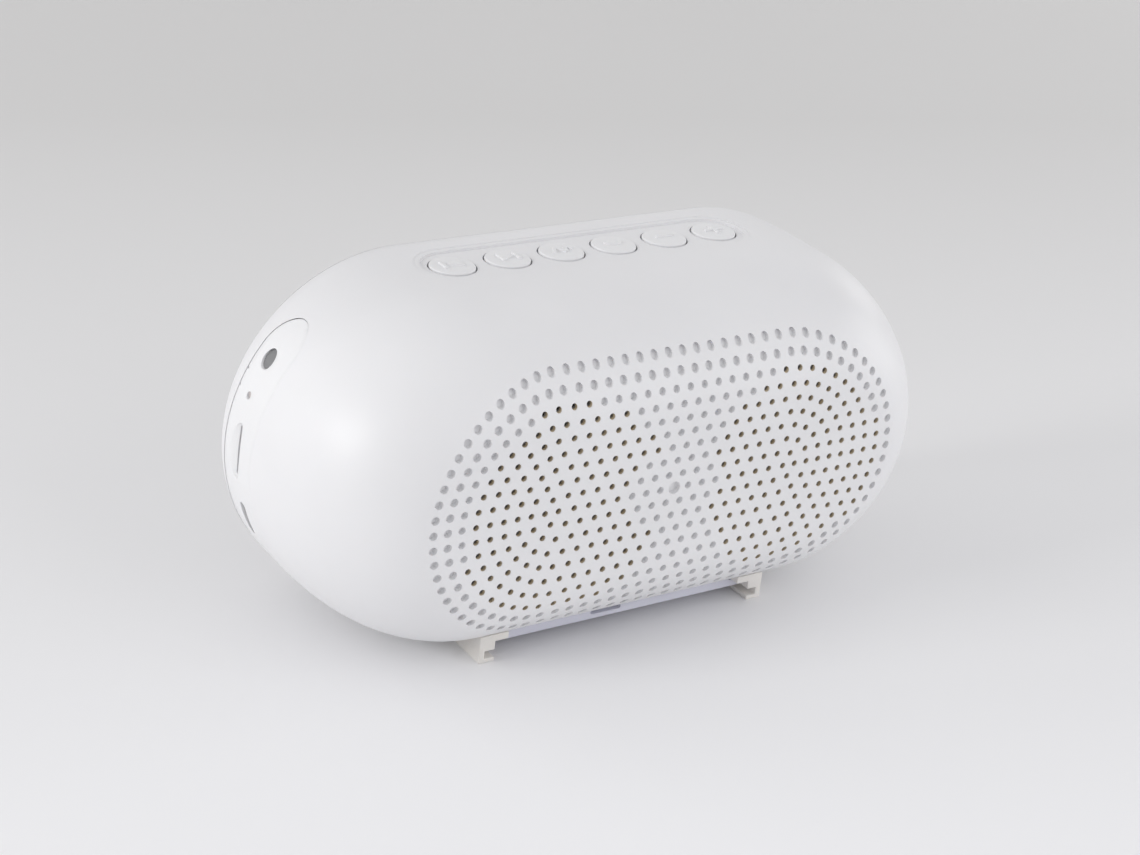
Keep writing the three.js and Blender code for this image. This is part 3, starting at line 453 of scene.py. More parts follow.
def section(y, inset, arc_steps):
    """The body's outline at a depth: straight top and bottom between two elliptical ends."""
    height = half_size("height", y, inset)
    arc = half_size("length", y, inset) - END_CENTRE
    ring = []
    for side in (1, -1):
        for i in range(arc_steps + 1):
            angle = math.pi * (i / arc_steps - 0.5)
            x = side * (END_CENTRE + arc * math.cos(angle))
            ring.append((x, y, side * height * math.sin(angle)))
    return ring


def depths(low, high, inset, front_steps, rear_steps):
    """Depths of the sections, closest together where the body curves most."""
    values = []
    blend = PROFILES["length"]["front"]
    for i in range(front_steps + 1):
        values.append(inset + (blend - inset) * (1 - math.cos(math.pi / 2 * i / front_steps)))
    rear = PROFILES["length"]["rear"]
    for i in range(rear_steps + 1):
        values.append(DEPTH - rear * (1 - math.sin(math.pi / 2 * i / rear_steps)))
    return [low] + [y for y in values if low + 0.05 < y < high - 0.05] + [high]


def body_solid(name, low, high, inset, fineness):
    """The body's form between two depths, with its surface moved in by an inset."""
    arc_steps, front_steps, rear_steps = fineness
    places = depths(low, high, inset, front_steps, rear_steps)
    return loft(name, [section(y, inset, arc_steps) for y in places])


def left_end_x(y, z, inset):
    """Where the left end's surface is, in front of a point."""
    arc = half_size("length", y, inset) - END_CENTRE
    height = half_size("height", y, inset)
    return -END_CENTRE - arc * math.sqrt(max(1 - (z / height) ** 2, 0.0))


def end_normal(y, z):
    """Outward direction of the left end's surface at a point."""
    step = 0.1
    slope_y = (left_end_x(y + step, z, 0) - left_end_x(y - step, z, 0)) / (2 * step)
    slope_z = (left_end_x(y, z + step, 0) - left_end_x(y, z - step, 0)) / (2 * step)
    return Vector((-1, slope_y, slope_z)).normalized()


def end_point(node):
    """The point of the left end's surface in front of a connector."""
    at = node_centre(node)
    y, z = at.y - FRONT, at.z - AXIS
    return Vector((left_end_x(y, z, 0.0), y, z))


# ---------------------------------------------------------------- grille holes and dimples

ROW = 3.0
PITCH = 3.31
RINGS = 9
RING_CENTRE = 26.7
ODD_ROW_END = 7.5  # half the length of a straight row, in pitches
EVEN_ROW_END = 7.0
OPEN_CIRCLES = [(-24.5, -1.0, 22.75), (29.0, -0.5, 22.0)]  # x, z and radius of the open areas
CLOSED_RADIUS = 10.0

HOLE_RADIUS = 0.61
HOLE_WALL_DEPTH = 0.85
HOLE_CHAMFER = 0.07
DIMPLE_RADIUS = 0.76
OUTER_DIMPLE_RADIUS = 0.86
MIDDLE_DIMPLE_RADIUS = 1.35
DIMPLE_DEPTH = 1.15
DIMPLE_RIM = 0.06
CUTTER_SIDES = 18
PAINTED_BOUNCE_END = 9


def grille_points():
    """(x, z, ring) of every hole: straight rows between two sets of half rings."""
    points = []
    for k in range(-RINGS, RINGS + 1):
        end = ODD_ROW_END if k % 2 else EVEN_ROW_END
        places = [i - end for i in range(int(2 * end) + 1)]
        points += [(i * PITCH, k * ROW, abs(k)) for i in places if (i, k) != (0, 0)]
    for side in (-1, 1):
        points.append((side * RING_CENTRE, 0.0, 0))
        for k in range(1, RINGS + 1):
            step = math.pi / 3 / k
            each = int(math.pi / 2 / step + 1e-6)
            for i in range(-each, each + 1):
                x = side * (RING_CENTRE + k * ROW * math.cos(i * step))
                points.append((x, k * ROW * math.sin(i * step), k))
    return points


def is_open(x, z):
    """Whether the grille is pierced at a point: in front of a driver and away from the middle."""
    in_circle = any(math.hypot(x - cx, z - cz) < radius for cx, cz, radius in OPEN_CIRCLES)
    return in_circle and math.hypot(x, z) > CLOSED_RADIUS


def face_depth(x, z):
    """Depth of the grille face at a point, and its slope along x and z."""
    def depth(px, pz):
        over = max(abs(px) - END_CENTRE, 0.0)
        low, high = 0.0, PROFILES["height"]["front"]
        for _ in range(24):
            y = (low + high) / 2
            arc = half_size("length", y, 0) - END_CENTRE
            inside = (over / arc) ** 2 + (pz / half_size("height", y, 0)) ** 2 <= 1
            low, high = (low, y) if inside else (y, high)
        return high

    step = 0.2
    slope_x = (depth(x + step, z) - depth(x - step, z)) / (2 * step)
    slope_z = (depth(x, z + step) - depth(x, z - step)) / (2 * step)
    return depth(x, z), slope_x, slope_z


def cutter_points(profile, x, z):
    """Points of one small turned cutter on the grille face, leaned to the face's slope."""
    depth, slope_x, slope_z = face_depth(x, z)
    points = []
    for radius, along in profile:
        for i in range(CUTTER_SIDES):
            angle = 2 * math.pi * i / CUTTER_SIDES
            u, v = radius * math.cos(angle), radius * math.sin(angle)
            lean = slope_x * u + slope_z * v
            points.append((x + u, depth + along + lean, z + v))
    return points


def hole_profile():
    """A through hole: a small chamfer, a straight wall and a wide clearance behind."""
    r, c = HOLE_RADIUS, HOLE_CHAMFER
    flare = HOLE_WALL_DEPTH
    return [(r + c + 0.4, -0.4), (r + c, 0.0), (r + 0.02, c * 1.2), (r, c * 1.6), (r, flare),
            (r + 0.4, flare + 0.15), (r + 0.4, 4.2)]


def dimple_profile(radius):
    """A shallow blind hole: a rounded rim, a steep wall and a dished floor."""
    rim, deep = DIMPLE_RIM, DIMPLE_DEPTH
    return [(radius + rim + 0.35, -0.35), (radius + rim, 0.0), (radius + 0.3 * rim, 0.3 * rim),
            (radius, rim), (radius * 0.97, 0.9 * deep), (radius * 0.9, 0.98 * deep),
            (radius * 0.5, deep), (0.05, deep + 0.02)]


def grille_cutters():
    """All the holes and dimples as one object of separate closed solids."""
    cutters = [(0.0, 0.0, dimple_profile(MIDDLE_DIMPLE_RADIUS))]
    for x, z, ring in grille_points():
        if is_open(x, z):
            cutters.append((x, z, hole_profile()))
        else:
            radius = OUTER_DIMPLE_RADIUS if ring >= RINGS - 1 else DIMPLE_RADIUS
            cutters.append((x, z, dimple_profile(radius)))
    vertices, faces = [], []
    for x, z, profile in cutters:
        faces += tube_faces(len(vertices), len(profile), CUTTER_SIDES)
        vertices += cutter_points(profile, x, z)
    return recalculate(make_object("grille_cutter", vertices, faces))


def paint_bounce_light_on_hole_walls(shell):
    """The walls of the through holes are painted tan: painted bounce light, standing in for the
    brown light that the cloth behind them casts on the white walls.
    """
    cells = {}
    for x, z, _ in grille_points():
        if is_open(x, z):
            cells.setdefault((round(x / ROW), round(z / ROW)), []).append((x, z))

    def near_hole(x, z):
        i, j = round(x / ROW), round(z / ROW)
        near = [hole for di in (-1, 0, 1) for dj in (-1, 0, 1)
                for hole in cells.get((i + di, j + dj), [])]
        return any(math.hypot(hx - x, hz - z) < HOLE_RADIUS + 0.01 for hx, hz in near)

    for face in shell.data.polygons:
        if abs(face.normal.y) < 0.2:
            centre = face.center / MM
            if centre.y - FRONT < PAINTED_BOUNCE_END and near_hole(centre.x, centre.z - AXIS):
                # painted bounce light on this hole wall
                face.material_index = 1


# ---------------------------------------------------------------- port panel and its openings

PANEL_HALF_WIDTH = 5.9
PANEL_HALF_HEIGHT = 27.3
PANEL_THICKNESS = 1.2
PANEL_SUNK = 0.12
PANEL_GROOVE = 0.17
OUTSIDE_END = -HALF_LENGTH - 3

JACK_OPENING = 1.88
JACK_GAP = 0.12
JACK_SUNK = 0.35
JACK_NOSE = 5.0
JACK_BODY_INSET = 2.7
LIGHT_OPENING = 0.75
CARD_HALF_LENGTH = 5.2
CARD_HALF_WIDTH = 0.6
CARD_SLOT_BACK = 0.9
USB_HALF_LENGTH = 3.6
USB_HALF_WIDTH = 1.1
USB_FORWARD = 0.5
USB_DOWN = 0.8

SCOOP_DEPTH = 1.1
SCOOP_HALF_HEIGHT = 5.9
SCOOP_REACH = 3.8
SCOOP_BOW = 1.1
SCOOP_FRONT = 0.5
SCOOP_STEPS = 24
SCOOP_FADE_STEPS = 6

PIN_HEIGHTS = (16.7, 13.4)
PIN_RADIUS = 0.28


def panel_prism(name, grow):
    """The panel's capsule outline, grown by an amount and run through the left end."""
    outline = capsule(PANEL_Y, 0, PANEL_HALF_HEIGHT + grow, PANEL_HALF_WIDTH + grow, 24,
                      along_a=False)
    return prism(name, outline, "x", OUTSIDE_END, -END_CENTRE)


def port_openings(grow):
    """Cutters for the audio socket, light, card slot and USB opening, run in along x."""
    made = []

    def run_in(name, outline):
        made.append(prism(name, outline, "x", OUTSIDE_END, -END_CENTRE - 14))

    for node, radius in (("aux_jack", JACK_OPENING), ("light_pipe", LIGHT_OPENING)):
        at = end_point(node)
        run_in("round_cutter", capsule(at.y, at.z, radius + grow, radius + grow, 20))
    card = end_point("card_socket")
    run_in("card_cutter", capsule(card.y + CARD_SLOT_BACK, card.z, CARD_HALF_LENGTH + grow,
                                  CARD_HALF_WIDTH + grow, 8, along_a=False))
    usb = end_point("usb_socket")
    run_in("usb_cutter", capsule(usb.y - USB_FORWARD, usb.z - USB_DOWN, USB_HALF_LENGTH + grow,
                                 USB_HALF_WIDTH + grow, 8, along_a=False))
    return made


def card_scoop():
    """Finger scoop behind the card slot: steep at its bowed front edge, fading out at the back."""
    card = end_point("card_socket")
    rings = []
    for i in range(SCOOP_STEPS + 1):
        t = -1 + 2 * i / SCOOP_STEPS
        round_off = math.sqrt(max(1 - t * t, 0.0004))
        z = card.z + SCOOP_HALF_HEIGHT * t
        front = card.y + SCOOP_FRONT - SCOOP_BOW * round_off
        back = front + SCOOP_REACH * round_off + 0.2
        ring = [(OUTSIDE_END, front, z), (OUTSIDE_END, back, z)]
        for k in range(SCOOP_FADE_STEPS + 1):
            share = k / SCOOP_FADE_STEPS
            y = back + (front - back) * share
            deep = SCOOP_DEPTH * math.sin(math.pi / 2 * share) * min(1.0, 2.2 * round_off)
            deep -= 0.05 * (1 - share)
            ring.append((left_end_x(y, z, PANEL_SUNK) + deep, y, z))
        rings.append(ring)
    return loft("scoop_cutter", rings)


def alignment_dots():
    """Two pin marks on the panel's rear edge, above the card slot."""
    made = []
    for z in PIN_HEIGHTS:
        y = PANEL_Y + PANEL_HALF_WIDTH - 0.15
        at = Vector((left_end_x(y, z, 0), y, z))
        made.append(lathe("dot", rod(PIN_RADIUS, 1, -0.6), at, end_normal(y, z), 16))
    return made


def port_panel():
    """The capsule-shaped panel on the left end, just below the shell's surface."""
    panel = panel_prism("panel", 0)
    layer = body_solid("layer", BEHIND_FACE, SEAM + 1, PANEL_SUNK, PANEL_FINENESS)
    boolean(panel, layer, "INTERSECT")
    under = body_solid("under", BEHIND_FACE, SEAM + 1, PANEL_SUNK + PANEL_THICKNESS - 0.1,
                       UNDERSIDE_FINENESS)
    boolean(panel, under, "DIFFERENCE")
    boolean(panel, card_scoop(), "DIFFERENCE")
    for cutter in port_openings(0) + alignment_dots():
        boolean(panel, cutter, "DIFFERENCE")
    panel.name = "port_panel_skin"
    bevel(panel, 0.1, 2, 50)
    paint(panel, TRIM)
    smooth(panel, 34)
    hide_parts("port_panel")
    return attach(panel, "housing")


def audio_jack():
    """Grey audio socket: its face follows the panel, and its box sits on the board."""
    at = end_point("aux_jack")
    radius = JACK_OPENING - JACK_GAP
    low, high = node_corners("aux_jack")
    jack = prism("aux_jack_socket", capsule(at.y, at.z, radius, radius, 20), "x", OUTSIDE_END,
                 high.x - 0.5)
    face = body_solid("under", BEHIND_FACE, SEAM + 1, PANEL_SUNK + JACK_SUNK, PANEL_FINENESS)
    boolean(jack, face, "INTERSECT")
    left, front, back = low.x + JACK_NOSE, low.y - FRONT, high.y - FRONT
    box = [(left, front), (high.x, front), (high.x, back), (left, back)]
    body = prism("jack_body", box, "z", low.z - AXIS, high.z - AXIS)
    inner = body_solid("inner", BEHIND_FACE, SEAM + 1, JACK_BODY_INSET, UNDERSIDE_FINENESS)
    boolean(body, inner, "INTERSECT")
    boolean(jack, body, "UNION")
    bevel(jack, 0.06, 2, 40)
    paint(jack, JACK_GREY)
    smooth(jack, 40)
    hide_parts("aux_jack")
    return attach(jack, "housing")


# ---------------------------------------------------------------- front shell and cloth

GRILLE_WALL = 1.75
THIN_MIDDLE = (2, -0.8)
THIN_HALF_LENGTH = 52.5
THIN_HALF_HEIGHT = 24.2

RECESS_HALF_LENGTH = 37.4
RECESS_HALF_WIDTH = 6.9
RECESS_STEPS = [(1.5, 0.06), (1.3, 0.13), (0.5, 0.16), (0.25, 0.35), (0.0, 0.55)]  # wider, deep
BUTTON_RADIUS = 4.62
BUTTON_GAP = 0.32

BASE_GAP = 0.25
SCREW_HOLE_RADIUS = 1.3
SCREW_HEAD_RADIUS = 2.7

CLOTH_FRONT = GRILLE_WALL + 0.15
CLOTH_BACK = GRILLE_WALL + 0.55
CLOTH_MARGIN = 0.9


def soft_recess():
    """The button recess: a capsule whose floor follows the body, with a stepped, soft edge."""
    made = []
    for grow, deep in RECESS_STEPS:
        outline = capsule(0, BUTTON_Y, RECESS_HALF_LENGTH + grow, RECESS_HALF_WIDTH + grow, 24)
        cutter = prism("recess_cutter", outline, "z", HALF_HEIGHT - 6, HALF_HEIGHT + 3)
        floor = body_solid("floor", BEHIND_FACE, SEAM + 1, deep, RECESS_FINENESS)
        boolean(cutter, floor, "DIFFERENCE")
        made.append(cutter)
    return made


def base_pocket():
    """The pocket that the rails and the base plate sit in."""
    low = node_corners("left_rail")[0]
    high = node_corners("right_rail")[1]
    ceiling = high.z - AXIS + 0.3
    left, right = low.x - BASE_GAP, high.x + BASE_GAP
    front, back = low.y - FRONT - BASE_GAP, high.y - FRONT + BASE_GAP
    outline = [(left, front), (right, front), (right, back), (left, back)]
    return prism("base_cutter", outline, "z", -HALF_HEIGHT - 2, ceiling)


def base_screw_places():
    return [node_centre("base_screw_1"), node_centre("base_screw_2")]


def front_shell():
    """The white shell: hollow, thinned behind the grille, with every opening cut into it."""
    shell = body_solid("shell", 0, SEAM, 0, SHELL_FINENESS)
    cavity = body_solid("cavity", WALL, SEAM + 1, WALL, CAVITY_FINENESS)
    boolean(shell, cavity, "DIFFERENCE")

    thin = body_solid("thin", GRILLE_WALL, 8, GRILLE_WALL, GRILLE_FINENESS)
    window = prism("window", capsule(*THIN_MIDDLE, THIN_HALF_LENGTH, THIN_HALF_HEIGHT, 24), "y",
                   -1, 14)
    boolean(thin, window, "INTERSECT")
    boolean(shell, thin, "DIFFERENCE")

    for cutter in soft_recess():
        boolean(shell, cutter, "DIFFERENCE")
    for name in BUTTONS:
        x = node_centre(name + "_button").x
        hole = lathe("button_cutter", rod(BUTTON_RADIUS + BUTTON_GAP, 30, HALF_HEIGHT + 2),
                     (x, BUTTON_Y, 0), "z", 64)
        boolean(shell, hole, "DIFFERENCE")
    boolean(shell, base_pocket(), "DIFFERENCE")
    for at in base_screw_places():
        pilot = lathe("pilot", rod(SCREW_HOLE_RADIUS, -HALF_HEIGHT, -20),
                      (at.x, at.y - FRONT, 0), "z", 24)
        boolean(shell, pilot, "DIFFERENCE")

    pocket = panel_prism("pocket", PANEL_GROOVE)
    keep = body_solid("keep", BEHIND_FACE, SEAM + 1, PANEL_THICKNESS, UNDERSIDE_FINENESS)
    boolean(pocket, keep, "DIFFERENCE")
    boolean(shell, pocket, "DIFFERENCE")
    for cutter in port_openings(0.3) + alignment_dots():
        boolean(shell, cutter, "DIFFERENCE")
    boolean(shell, grille_cutters(), "DIFFERENCE")

    shell.name = "front_shell_skin"
    smooth(shell, 34)
    weighted_normals(shell)
    # The second material is painted bounce light on the walls of the through holes.
    paint(shell, WHITE, HOLE_WALL_PAINTED_BOUNCE)
    paint_bounce_light_on_hole_walls(shell)
    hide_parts("front_shell")
    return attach(shell, "housing")


def grille_cloth():
    """Brown acoustic cloth stretched close behind the grille wall, one piece for each driver."""
    for name, (x, z, radius) in zip(("left", "right"), OPEN_CIRCLES):
        sheet = body_solid("cloth", CLOTH_FRONT, 9, CLOTH_FRONT, GRILLE_FINENESS)
        inner = body_solid("cloth_inner", CLOTH_BACK, 10, CLOTH_BACK, GRILLE_FINENESS)
        boolean(sheet, inner, "DIFFERENCE")
        disc = lathe("disc", rod(radius + CLOTH_MARGIN, -1, 14), (x, 0, z), "y", 64)
        boolean(sheet, disc, "INTERSECT")
        sheet.name = name + "_grille_cloth"
        paint(sheet, CLOTH)
        smooth(sheet, 32)
        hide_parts(name + "_dust_cloth")
        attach(sheet, "housing")


# ---------------------------------------------------------------- rear cover

COVER_LEDGE = 3
WELL_DEPTH = 2.3
WELL_EDGE = 0.25
WELL_MOUTH_RADIUS = 3.0


def rear_cover():
    """The lid behind the seam, with four sunk screws."""
    cover = body_solid("cover", COVER_FRONT, DEPTH, 0, COVER_FINENESS)
    hollow = body_solid("hollow", COVER_FRONT - 1, DEPTH - WALL, WALL + COVER_LEDGE,
                        HOLLOW_FINENESS)
    boolean(cover, hollow, "DIFFERENCE")
    back, floor = DEPTH + 0.5, DEPTH - WELL_DEPTH
    profile = [(0, back), (WELL_MOUTH_RADIUS, back), (WELL_MOUTH_RADIUS - 0.05, DEPTH - 0.05),
               (SCREW_HEAD_RADIUS + 0.05, DEPTH - WELL_EDGE), (SCREW_HEAD_RADIUS, floor),
               (SCREW_HOLE_RADIUS, floor), (SCREW_HOLE_RADIUS, SEAM - 2), (0, SEAM - 2)]
    for i in range(4):
        screw = node_centre(f"cover_screw_{i + 1}")
        well = lathe("well", profile, (screw.x, 0, screw.z - AXIS), "y", 40)
        boolean(cover, well, "DIFFERENCE")
    cover.name = "rear_cover_skin"
    paint(cover, WHITE)
    smooth(cover, 34)
    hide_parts("rear_cover")
    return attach(cover, "housing")


# ---------------------------------------------------------------- buttons

STROKE = 0.6
ICON_SCALE = 1.2
ICON_HEIGHT = 0.3
CAP_TOP = BUTTON_TOP - ICON_HEIGHT - 0.02
CAP_EDGE = 0.3
CAP_CROWN = 0.2
CAP_SKIRT = 2.4
CAP_FLANGE_RADIUS = 5.6
CAP_FLANGE_LOW = 1.2
CAP_FLANGE_HIGH = 2.3
CAP_STEM_RADIUS = 1.5
CAP_STEM_TOP = 1.0

HANDSET_OUTER = 2.0
HANDSET_INNER = 1.45
HANDSET_MIDDLE = 1.2
HANDSET_STEPS = 12


def bar(x0, y0, x1, y1):
    """Outline of a straight stroke between two points."""
    dx, dy = x1 - x0, y1 - y0
    length = math.hypot(dx, dy)
    nx, ny = -dy / length * STROKE / 2, dx / length * STROKE / 2
    return [(x0 + nx, y0 + ny), (x0 - nx, y0 - ny), (x1 - nx, y1 - ny), (x1 + nx, y1 + ny)]


def triangle(tip_x, base_x, half):
    """Outline of an arrowhead that points along x."""
    return [(tip_x, 0), (base_x, half), (base_x, -half)]


def handset():
    """Outline of a generic handset: a bowed grip."""
    outer, inner = [], []
    for i in range(HANDSET_STEPS + 1):
        angle = math.radians(205 + 130 * i / HANDSET_STEPS)
        for points, radius in ((outer, HANDSET_OUTER), (inner, HANDSET_INNER)):
            points.append((radius * math.cos(angle), HANDSET_MIDDLE + radius * math.sin(angle)))
    return outer + inner[::-1]


ICONS = {
    "previous": [bar(-1.7, -1.25, -1.7, 1.25), triangle(-1.0, 1.6, 1.4)],
    "next": [triangle(1.0, -1.6, 1.4), bar(1.7, -1.25, 1.7, 1.25)],
    "mode": [bar(-1.9, -0.9, -0.9, 1.0), bar(-0.9, 1.0, 0.3, -1.0), bar(0.3, -1.0, 1.2, 1.0),
             bar(1.2, 1.0, 1.9, -0.2)],
    "call": [handset()],
    "volume_down": [bar(-1.8, 0, 1.8, 0)],
    "volume_up": [bar(-1.8, 0, 1.8, 0), bar(0, -1.5, 0, 1.5)],
}


def crown_drop(radius):
    """How far the cap's top falls below its middle."""
    return CAP_CROWN * (radius / BUTTON_RADIUS) ** 2.4


def button_cap(name):
    """A key cap: a crowned top with a raised mark, and a flange and a stem below."""
    node = name + "_button"
    x = node_centre(node).x
    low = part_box(node)[0].z / MM - AXIS
    rim = BUTTON_RADIUS - CAP_EDGE
    profile = [(0, CAP_TOP)]
    for i in range(1, 9):
        radius = rim * i / 8
        profile.append((radius, CAP_TOP - crown_drop(radius)))
    shoulder = CAP_TOP - crown_drop(rim)
    for i in range(1, 7):
        angle = math.pi / 2 * i / 6
        profile.append((rim + CAP_EDGE * math.sin(angle),
                        shoulder - CAP_EDGE * (1 - math.cos(angle))))
    profile += [(BUTTON_RADIUS, low + CAP_SKIRT), (CAP_FLANGE_RADIUS, low + CAP_FLANGE_HIGH),
                (CAP_FLANGE_RADIUS, low + CAP_FLANGE_LOW), (CAP_STEM_RADIUS, low + CAP_STEM_TOP),
                (CAP_STEM_RADIUS, low), (0, low)]
    cap = lathe("cap", profile, (x, BUTTON_Y, 0), "z", 72)
    for outline in ICONS[name]:
        placed = [(x + ICON_SCALE * a, BUTTON_Y + ICON_SCALE * b) for a, b in outline]
        icon = prism("icon", placed, "z", CAP_TOP - 1.0, CAP_TOP + ICON_HEIGHT)
        boolean(cap, icon, "UNION")
    cap.name = name + "_cap"
    bevel(cap, 0.07, 2, 40)
    paint(cap, TRIM)
    smooth(cap, 40)
    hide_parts(node)
    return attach(cap, name + "_key")


# ---------------------------------------------------------------- base plate and rails

TONGUE_REACH = 3
TONGUE_TOP = 1.9
PLATE_SLOT_X = -3.4
PLATE_SLOT_DOWN = 0.3
PLATE_SLOT_HALF_LENGTH = 3.7
PLATE_SLOT_HALF_HEIGHT = 0.45
PLATE_SLOT_DEPTH = 6
PLATE_WELL_DEPTH = 1.8

RAIL_LIP = 3.6
RAIL_WEB = 1.3
RAIL_FOOT = 0.9
RAIL_GROOVE_TOP = 2.6
RAIL_TOP = 1.6
RAIL_TONGUE = 3


def base_plate():
    """The lilac plate between the rails, with a short slot in its front edge."""
    low, high = node_corners("base_plate")
    front, back = low.y - FRONT, high.y - FRONT
    bottom, top = low.z - AXIS, high.z - AXIS
    left, right, ledge = low.x + TONGUE_REACH, high.x - TONGUE_REACH, top - TONGUE_TOP
    outline = [(low.x, bottom), (high.x, bottom), (high.x, ledge), (right, ledge), (right, top),
               (left, top), (left, ledge), (low.x, ledge)]
    plate = prism("plate", outline, "y", front, back)
    slot_z = (bottom + top) / 2 - PLATE_SLOT_DOWN
    opening = capsule(PLATE_SLOT_X, slot_z, PLATE_SLOT_HALF_LENGTH, PLATE_SLOT_HALF_HEIGHT, 8)
    boolean(plate, prism("slot", opening, "y", front - 1, front + PLATE_SLOT_DEPTH), "DIFFERENCE")
    seat = bottom + PLATE_WELL_DEPTH
    profile = [(0, bottom - 1), (SCREW_HEAD_RADIUS, bottom - 1), (SCREW_HEAD_RADIUS, seat),
               (SCREW_HOLE_RADIUS, seat), (SCREW_HOLE_RADIUS, top + 1), (0, top + 1)]
    for at in base_screw_places():
        hole = lathe("screw_hole", profile, (at.x, at.y - FRONT, 0), "z", 32)
        boolean(plate, hole, "DIFFERENCE")
    plate.name = "base_plate_skin"
    bevel(plate, 0.18, 2, 40)
    paint(plate, LILAC)
    smooth(plate, 40)
    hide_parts("base_plate")
    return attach(plate, "housing")


def rails():
    """Two cream rails with a groove along the inside, that the speaker stands on."""
    for name, side in (("left", -1), ("right", 1)):
        low, high = node_corners(name + "_rail")
        outer = max(abs(low.x), abs(high.x))
        lip, web = outer - RAIL_LIP, outer - RAIL_WEB
        tongue = lip - RAIL_TONGUE
        bottom, top = low.z - AXIS, high.z - AXIS
        foot, groove, shelf = bottom + RAIL_FOOT, bottom + RAIL_GROOVE_TOP, top - RAIL_TOP
        outline = [(outer, top), (outer, bottom), (lip, bottom), (lip, foot), (web, foot),
                   (web, groove), (lip, groove), (lip, shelf), (tongue, shelf), (tongue, top)]
        rail = prism("rail", [(side * a, b) for a, b in outline], "y", low.y - FRONT,
                     high.y - FRONT)
        rail.name = name + "_rail_skin"
        bevel(rail, 0.2, 3, 40)
        paint(rail, CREAM)
        smooth(rail, 40)
        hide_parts(name + "_rail")
        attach(rail, "housing")


# ---------------------------------------------------------------- floor, light and camera

FLOOR_HALF_WIDTH = 4000.0
FLOOR_NEAR = -2500.0
FLOOR_FAR = 1500.0
BACKDROP_RADIUS = 900.0
BACKDROP_HEIGHT = 2500.0
FLOOR_TURN = -34.9

# Painted light on the floor: the near colour is painted bright and the far colour painted darker, a
# falloff of light towards the backdrop.
NEAR_FLOOR_PAINTED_LIGHT = ((0.885, 0.885, 0.90), (0.915, 0.915, 0.93))
FAR_FLOOR_PAINTED_SHADE = ((0.66, 0.655, 0.65), (0.69, 0.685, 0.68))
PAINTED_FALLOFF_DIRECTION = (0.285, 1.02, 0)
PAINTED_FALLOFF_START = -0.12
PAINTED_FALLOFF_END = 0.34

LIGHTS = [  # name, place, width, power and colour
    ("window", (-1.03, 0.07, 0.42), 0.32, 3.4, (1.0, 0.995, 0.985)),
    ("far_window", (0.96, 0.38, 0.26), 0.26, 0.25, (1.0, 0.98, 0.95)),
    ("back_left", (-1.1, 1.0, 0.5), 1.3, 4.4, (1.0, 1.0, 1.0)),
    ("back_right", (1.1, 1.0, 0.5), 1.3, 1.4, (1.0, 1.0, 1.0)),
    ("right_fill", (1.4, -0.35, 0.3), 1.1, 4.6, (1.0, 1.0, 1.0)),
    ("front_fill", (0.8, -1.4, 0.7), 1.5, 5.5, (0.99, 0.99, 1.0)),
]
LIGHT_TARGET = (0, 0, 0.04)
ROOM_COLOUR = (0.985, 0.985, 1.0, 1)
ROOM_STRENGTH = 0.68

VIEW_AZIMUTH = -34.87
VIEW_ELEVATION = 25.04
VIEW_ROLL = 6.15
VIEW_OFFSET = (6.145, -3.558, -129.36)  # the body's middle seen from the camera, in hole pitches
SENSOR_WIDTH = 36.0
IMAGE_WIDTH = 1140
FOCAL_LENGTH = 2196.3  # in widths of a pixel


def floor_painted_falloff():
    """Faintly mottled floor colour with painted light in it: painted brighter near the object,
    falling off to painted shade towards the backdrop.
    """
    material, tree, shader = new_material("floor_painted_falloff")
    mottle = noise(tree, scale=1.4, detail=2.0)
    near_painted_light = ramp(tree, mottle, *NEAR_FLOOR_PAINTED_LIGHT)
    far_painted_shade = ramp(tree, mottle, *FAR_FLOOR_PAINTED_SHADE)
    place = tree.nodes.new("ShaderNodeNewGeometry")
    along = tree.nodes.new("ShaderNodeVectorMath")
    along.operation = "DOT_PRODUCT"
    along.inputs[1].default_value = PAINTED_FALLOFF_DIRECTION
    link(tree, place.outputs["Position"], along.inputs[0])
    painted_falloff = tree.nodes.new("ShaderNodeMapRange")
    painted_falloff.inputs["From Min"].default_value = PAINTED_FALLOFF_START
    painted_falloff.inputs["From Max"].default_value = PAINTED_FALLOFF_END
    link(tree, along.outputs["Value"], painted_falloff.inputs["Value"])
    # painted falloff of light from the bright near colour to the darker far colour
    blend = tree.nodes.new("ShaderNodeMix")
    blend.data_type = "RGBA"
    factor, near_side, far_side, result = 0, 6, 7, 2  # the node's colour sockets
    link(tree, painted_falloff.outputs["Result"], blend.inputs[factor])
    link(tree, near_painted_light, blend.inputs[near_side])
    link(tree, far_painted_shade, blend.inputs[far_side])
    link(tree, blend.outputs[result], shader.inputs["Base Color"])
    shader.inputs["Roughness"].default_value = 0.75
    return material


def sweep():
    """A pale floor that curves up into a backdrop far behind the object."""
    floor_z = -AXIS
    profile = [(FLOOR_NEAR, floor_z), (FLOOR_FAR, floor_z)]
    for i in range(1, 25):
        angle = math.pi / 2 * i / 24
        profile.append((FLOOR_FAR + BACKDROP_RADIUS * math.sin(angle),
                        floor_z + BACKDROP_RADIUS * (1 - math.cos(angle))))
    profile.append((FLOOR_FAR + BACKDROP_RADIUS, floor_z + BACKDROP_HEIGHT))
    vertices, faces = [], []
    for a, b in profile:
        vertices += [(-FLOOR_HALF_WIDTH, a, b), (FLOOR_HALF_WIDTH, a, b)]
    for i in range(len(profile) - 1):
        faces.append((2 * i, 2 * i + 1, 2 * i + 3, 2 * i + 2))
    floor = make_object("floor", vertices, faces)
    floor.data.transform(Matrix.Rotation(math.radians(FLOOR_TURN), 4, "Z"))
    floor.data.materials.append(floor_painted_falloff())
    for face in floor.data.polygons:
        face.use_smooth = True


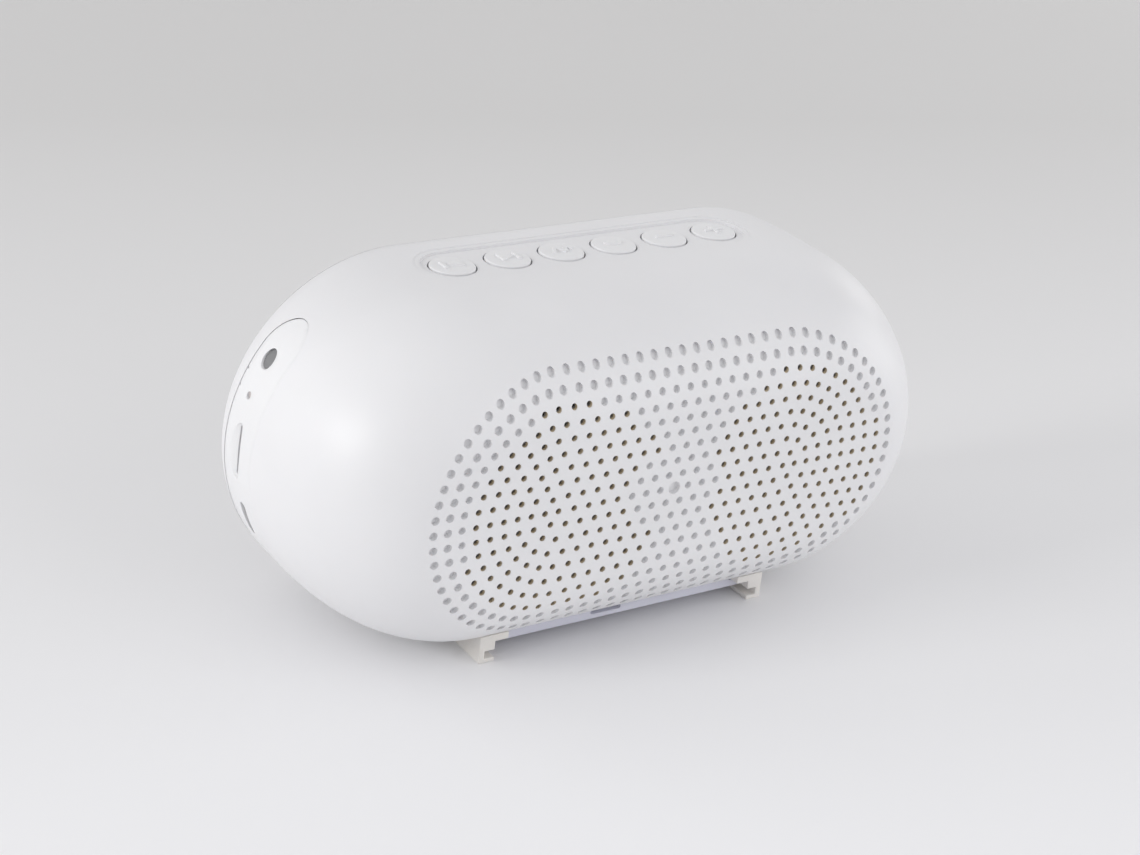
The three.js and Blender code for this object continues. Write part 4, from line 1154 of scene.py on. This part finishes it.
def area_light(name, location, size, power, colour):
    """A round soft light that faces the object."""
    light = bpy.data.lights.new(name, "AREA")
    light.shape = "DISK"
    light.size = size
    light.energy = power
    light.color = colour
    lamp = bpy.data.objects.new(name, light)
    bpy.context.scene.collection.objects.link(lamp)
    lamp.location = location
    direction = Vector(LIGHT_TARGET) - Vector(location)
    lamp.rotation_mode = "QUATERNION"
    lamp.rotation_quaternion = direction.to_track_quat("-Z", "Y")


def lights():
    """A window low on the left, a smaller one behind on the right, and broad soft fill."""
    for light in LIGHTS:
        area_light(*light)
    world = bpy.data.worlds.new("studio")
    world.use_nodes = True
    world.node_tree.nodes["Background"].inputs["Color"].default_value = ROOM_COLOUR
    world.node_tree.nodes["Background"].inputs["Strength"].default_value = ROOM_STRENGTH
    bpy.context.scene.world = world
    bpy.context.scene.view_settings.view_transform = "Standard"


def camera():
    """The viewing angle: to the left of the object and above it, with a small roll."""
    azimuth, elevation = math.radians(VIEW_AZIMUTH), math.radians(VIEW_ELEVATION)
    roll = math.radians(VIEW_ROLL)
    back = Vector((math.sin(azimuth) * math.cos(elevation),
                   -math.cos(azimuth) * math.cos(elevation), math.sin(elevation)))
    right = Vector((math.cos(azimuth), math.sin(azimuth), 0))
    up = back.cross(right)
    turned_right = right * math.cos(roll) + up * math.sin(roll)
    turned_up = up * math.cos(roll) - right * math.sin(roll)
    rotation = Matrix((turned_right, turned_up, back)).transposed()
    place = -(rotation @ (Vector(VIEW_OFFSET) * PITCH))
    data = bpy.data.cameras.new("camera")
    data.sensor_fit = "HORIZONTAL"
    data.sensor_width = SENSOR_WIDTH
    data.lens = FOCAL_LENGTH / IMAGE_WIDTH * SENSOR_WIDTH
    data.clip_start = 0.01
    data.clip_end = 50
    viewer = bpy.data.objects.new("camera", data)
    bpy.context.scene.collection.objects.link(viewer)
    viewer.rotation_mode = "QUATERNION"
    viewer.rotation_quaternion = rotation.to_quaternion()
    viewer.location = to_frame(place)
    bpy.context.scene.camera = viewer


# ---------------------------------------------------------------- assembly

camera()
dress_cad_nodes()
front_shell()
grille_cloth()
port_panel()
audio_jack()
rear_cover()
for button in BUTTONS:
    button_cap(button)
base_plate()
rails()
sweep()
lights()
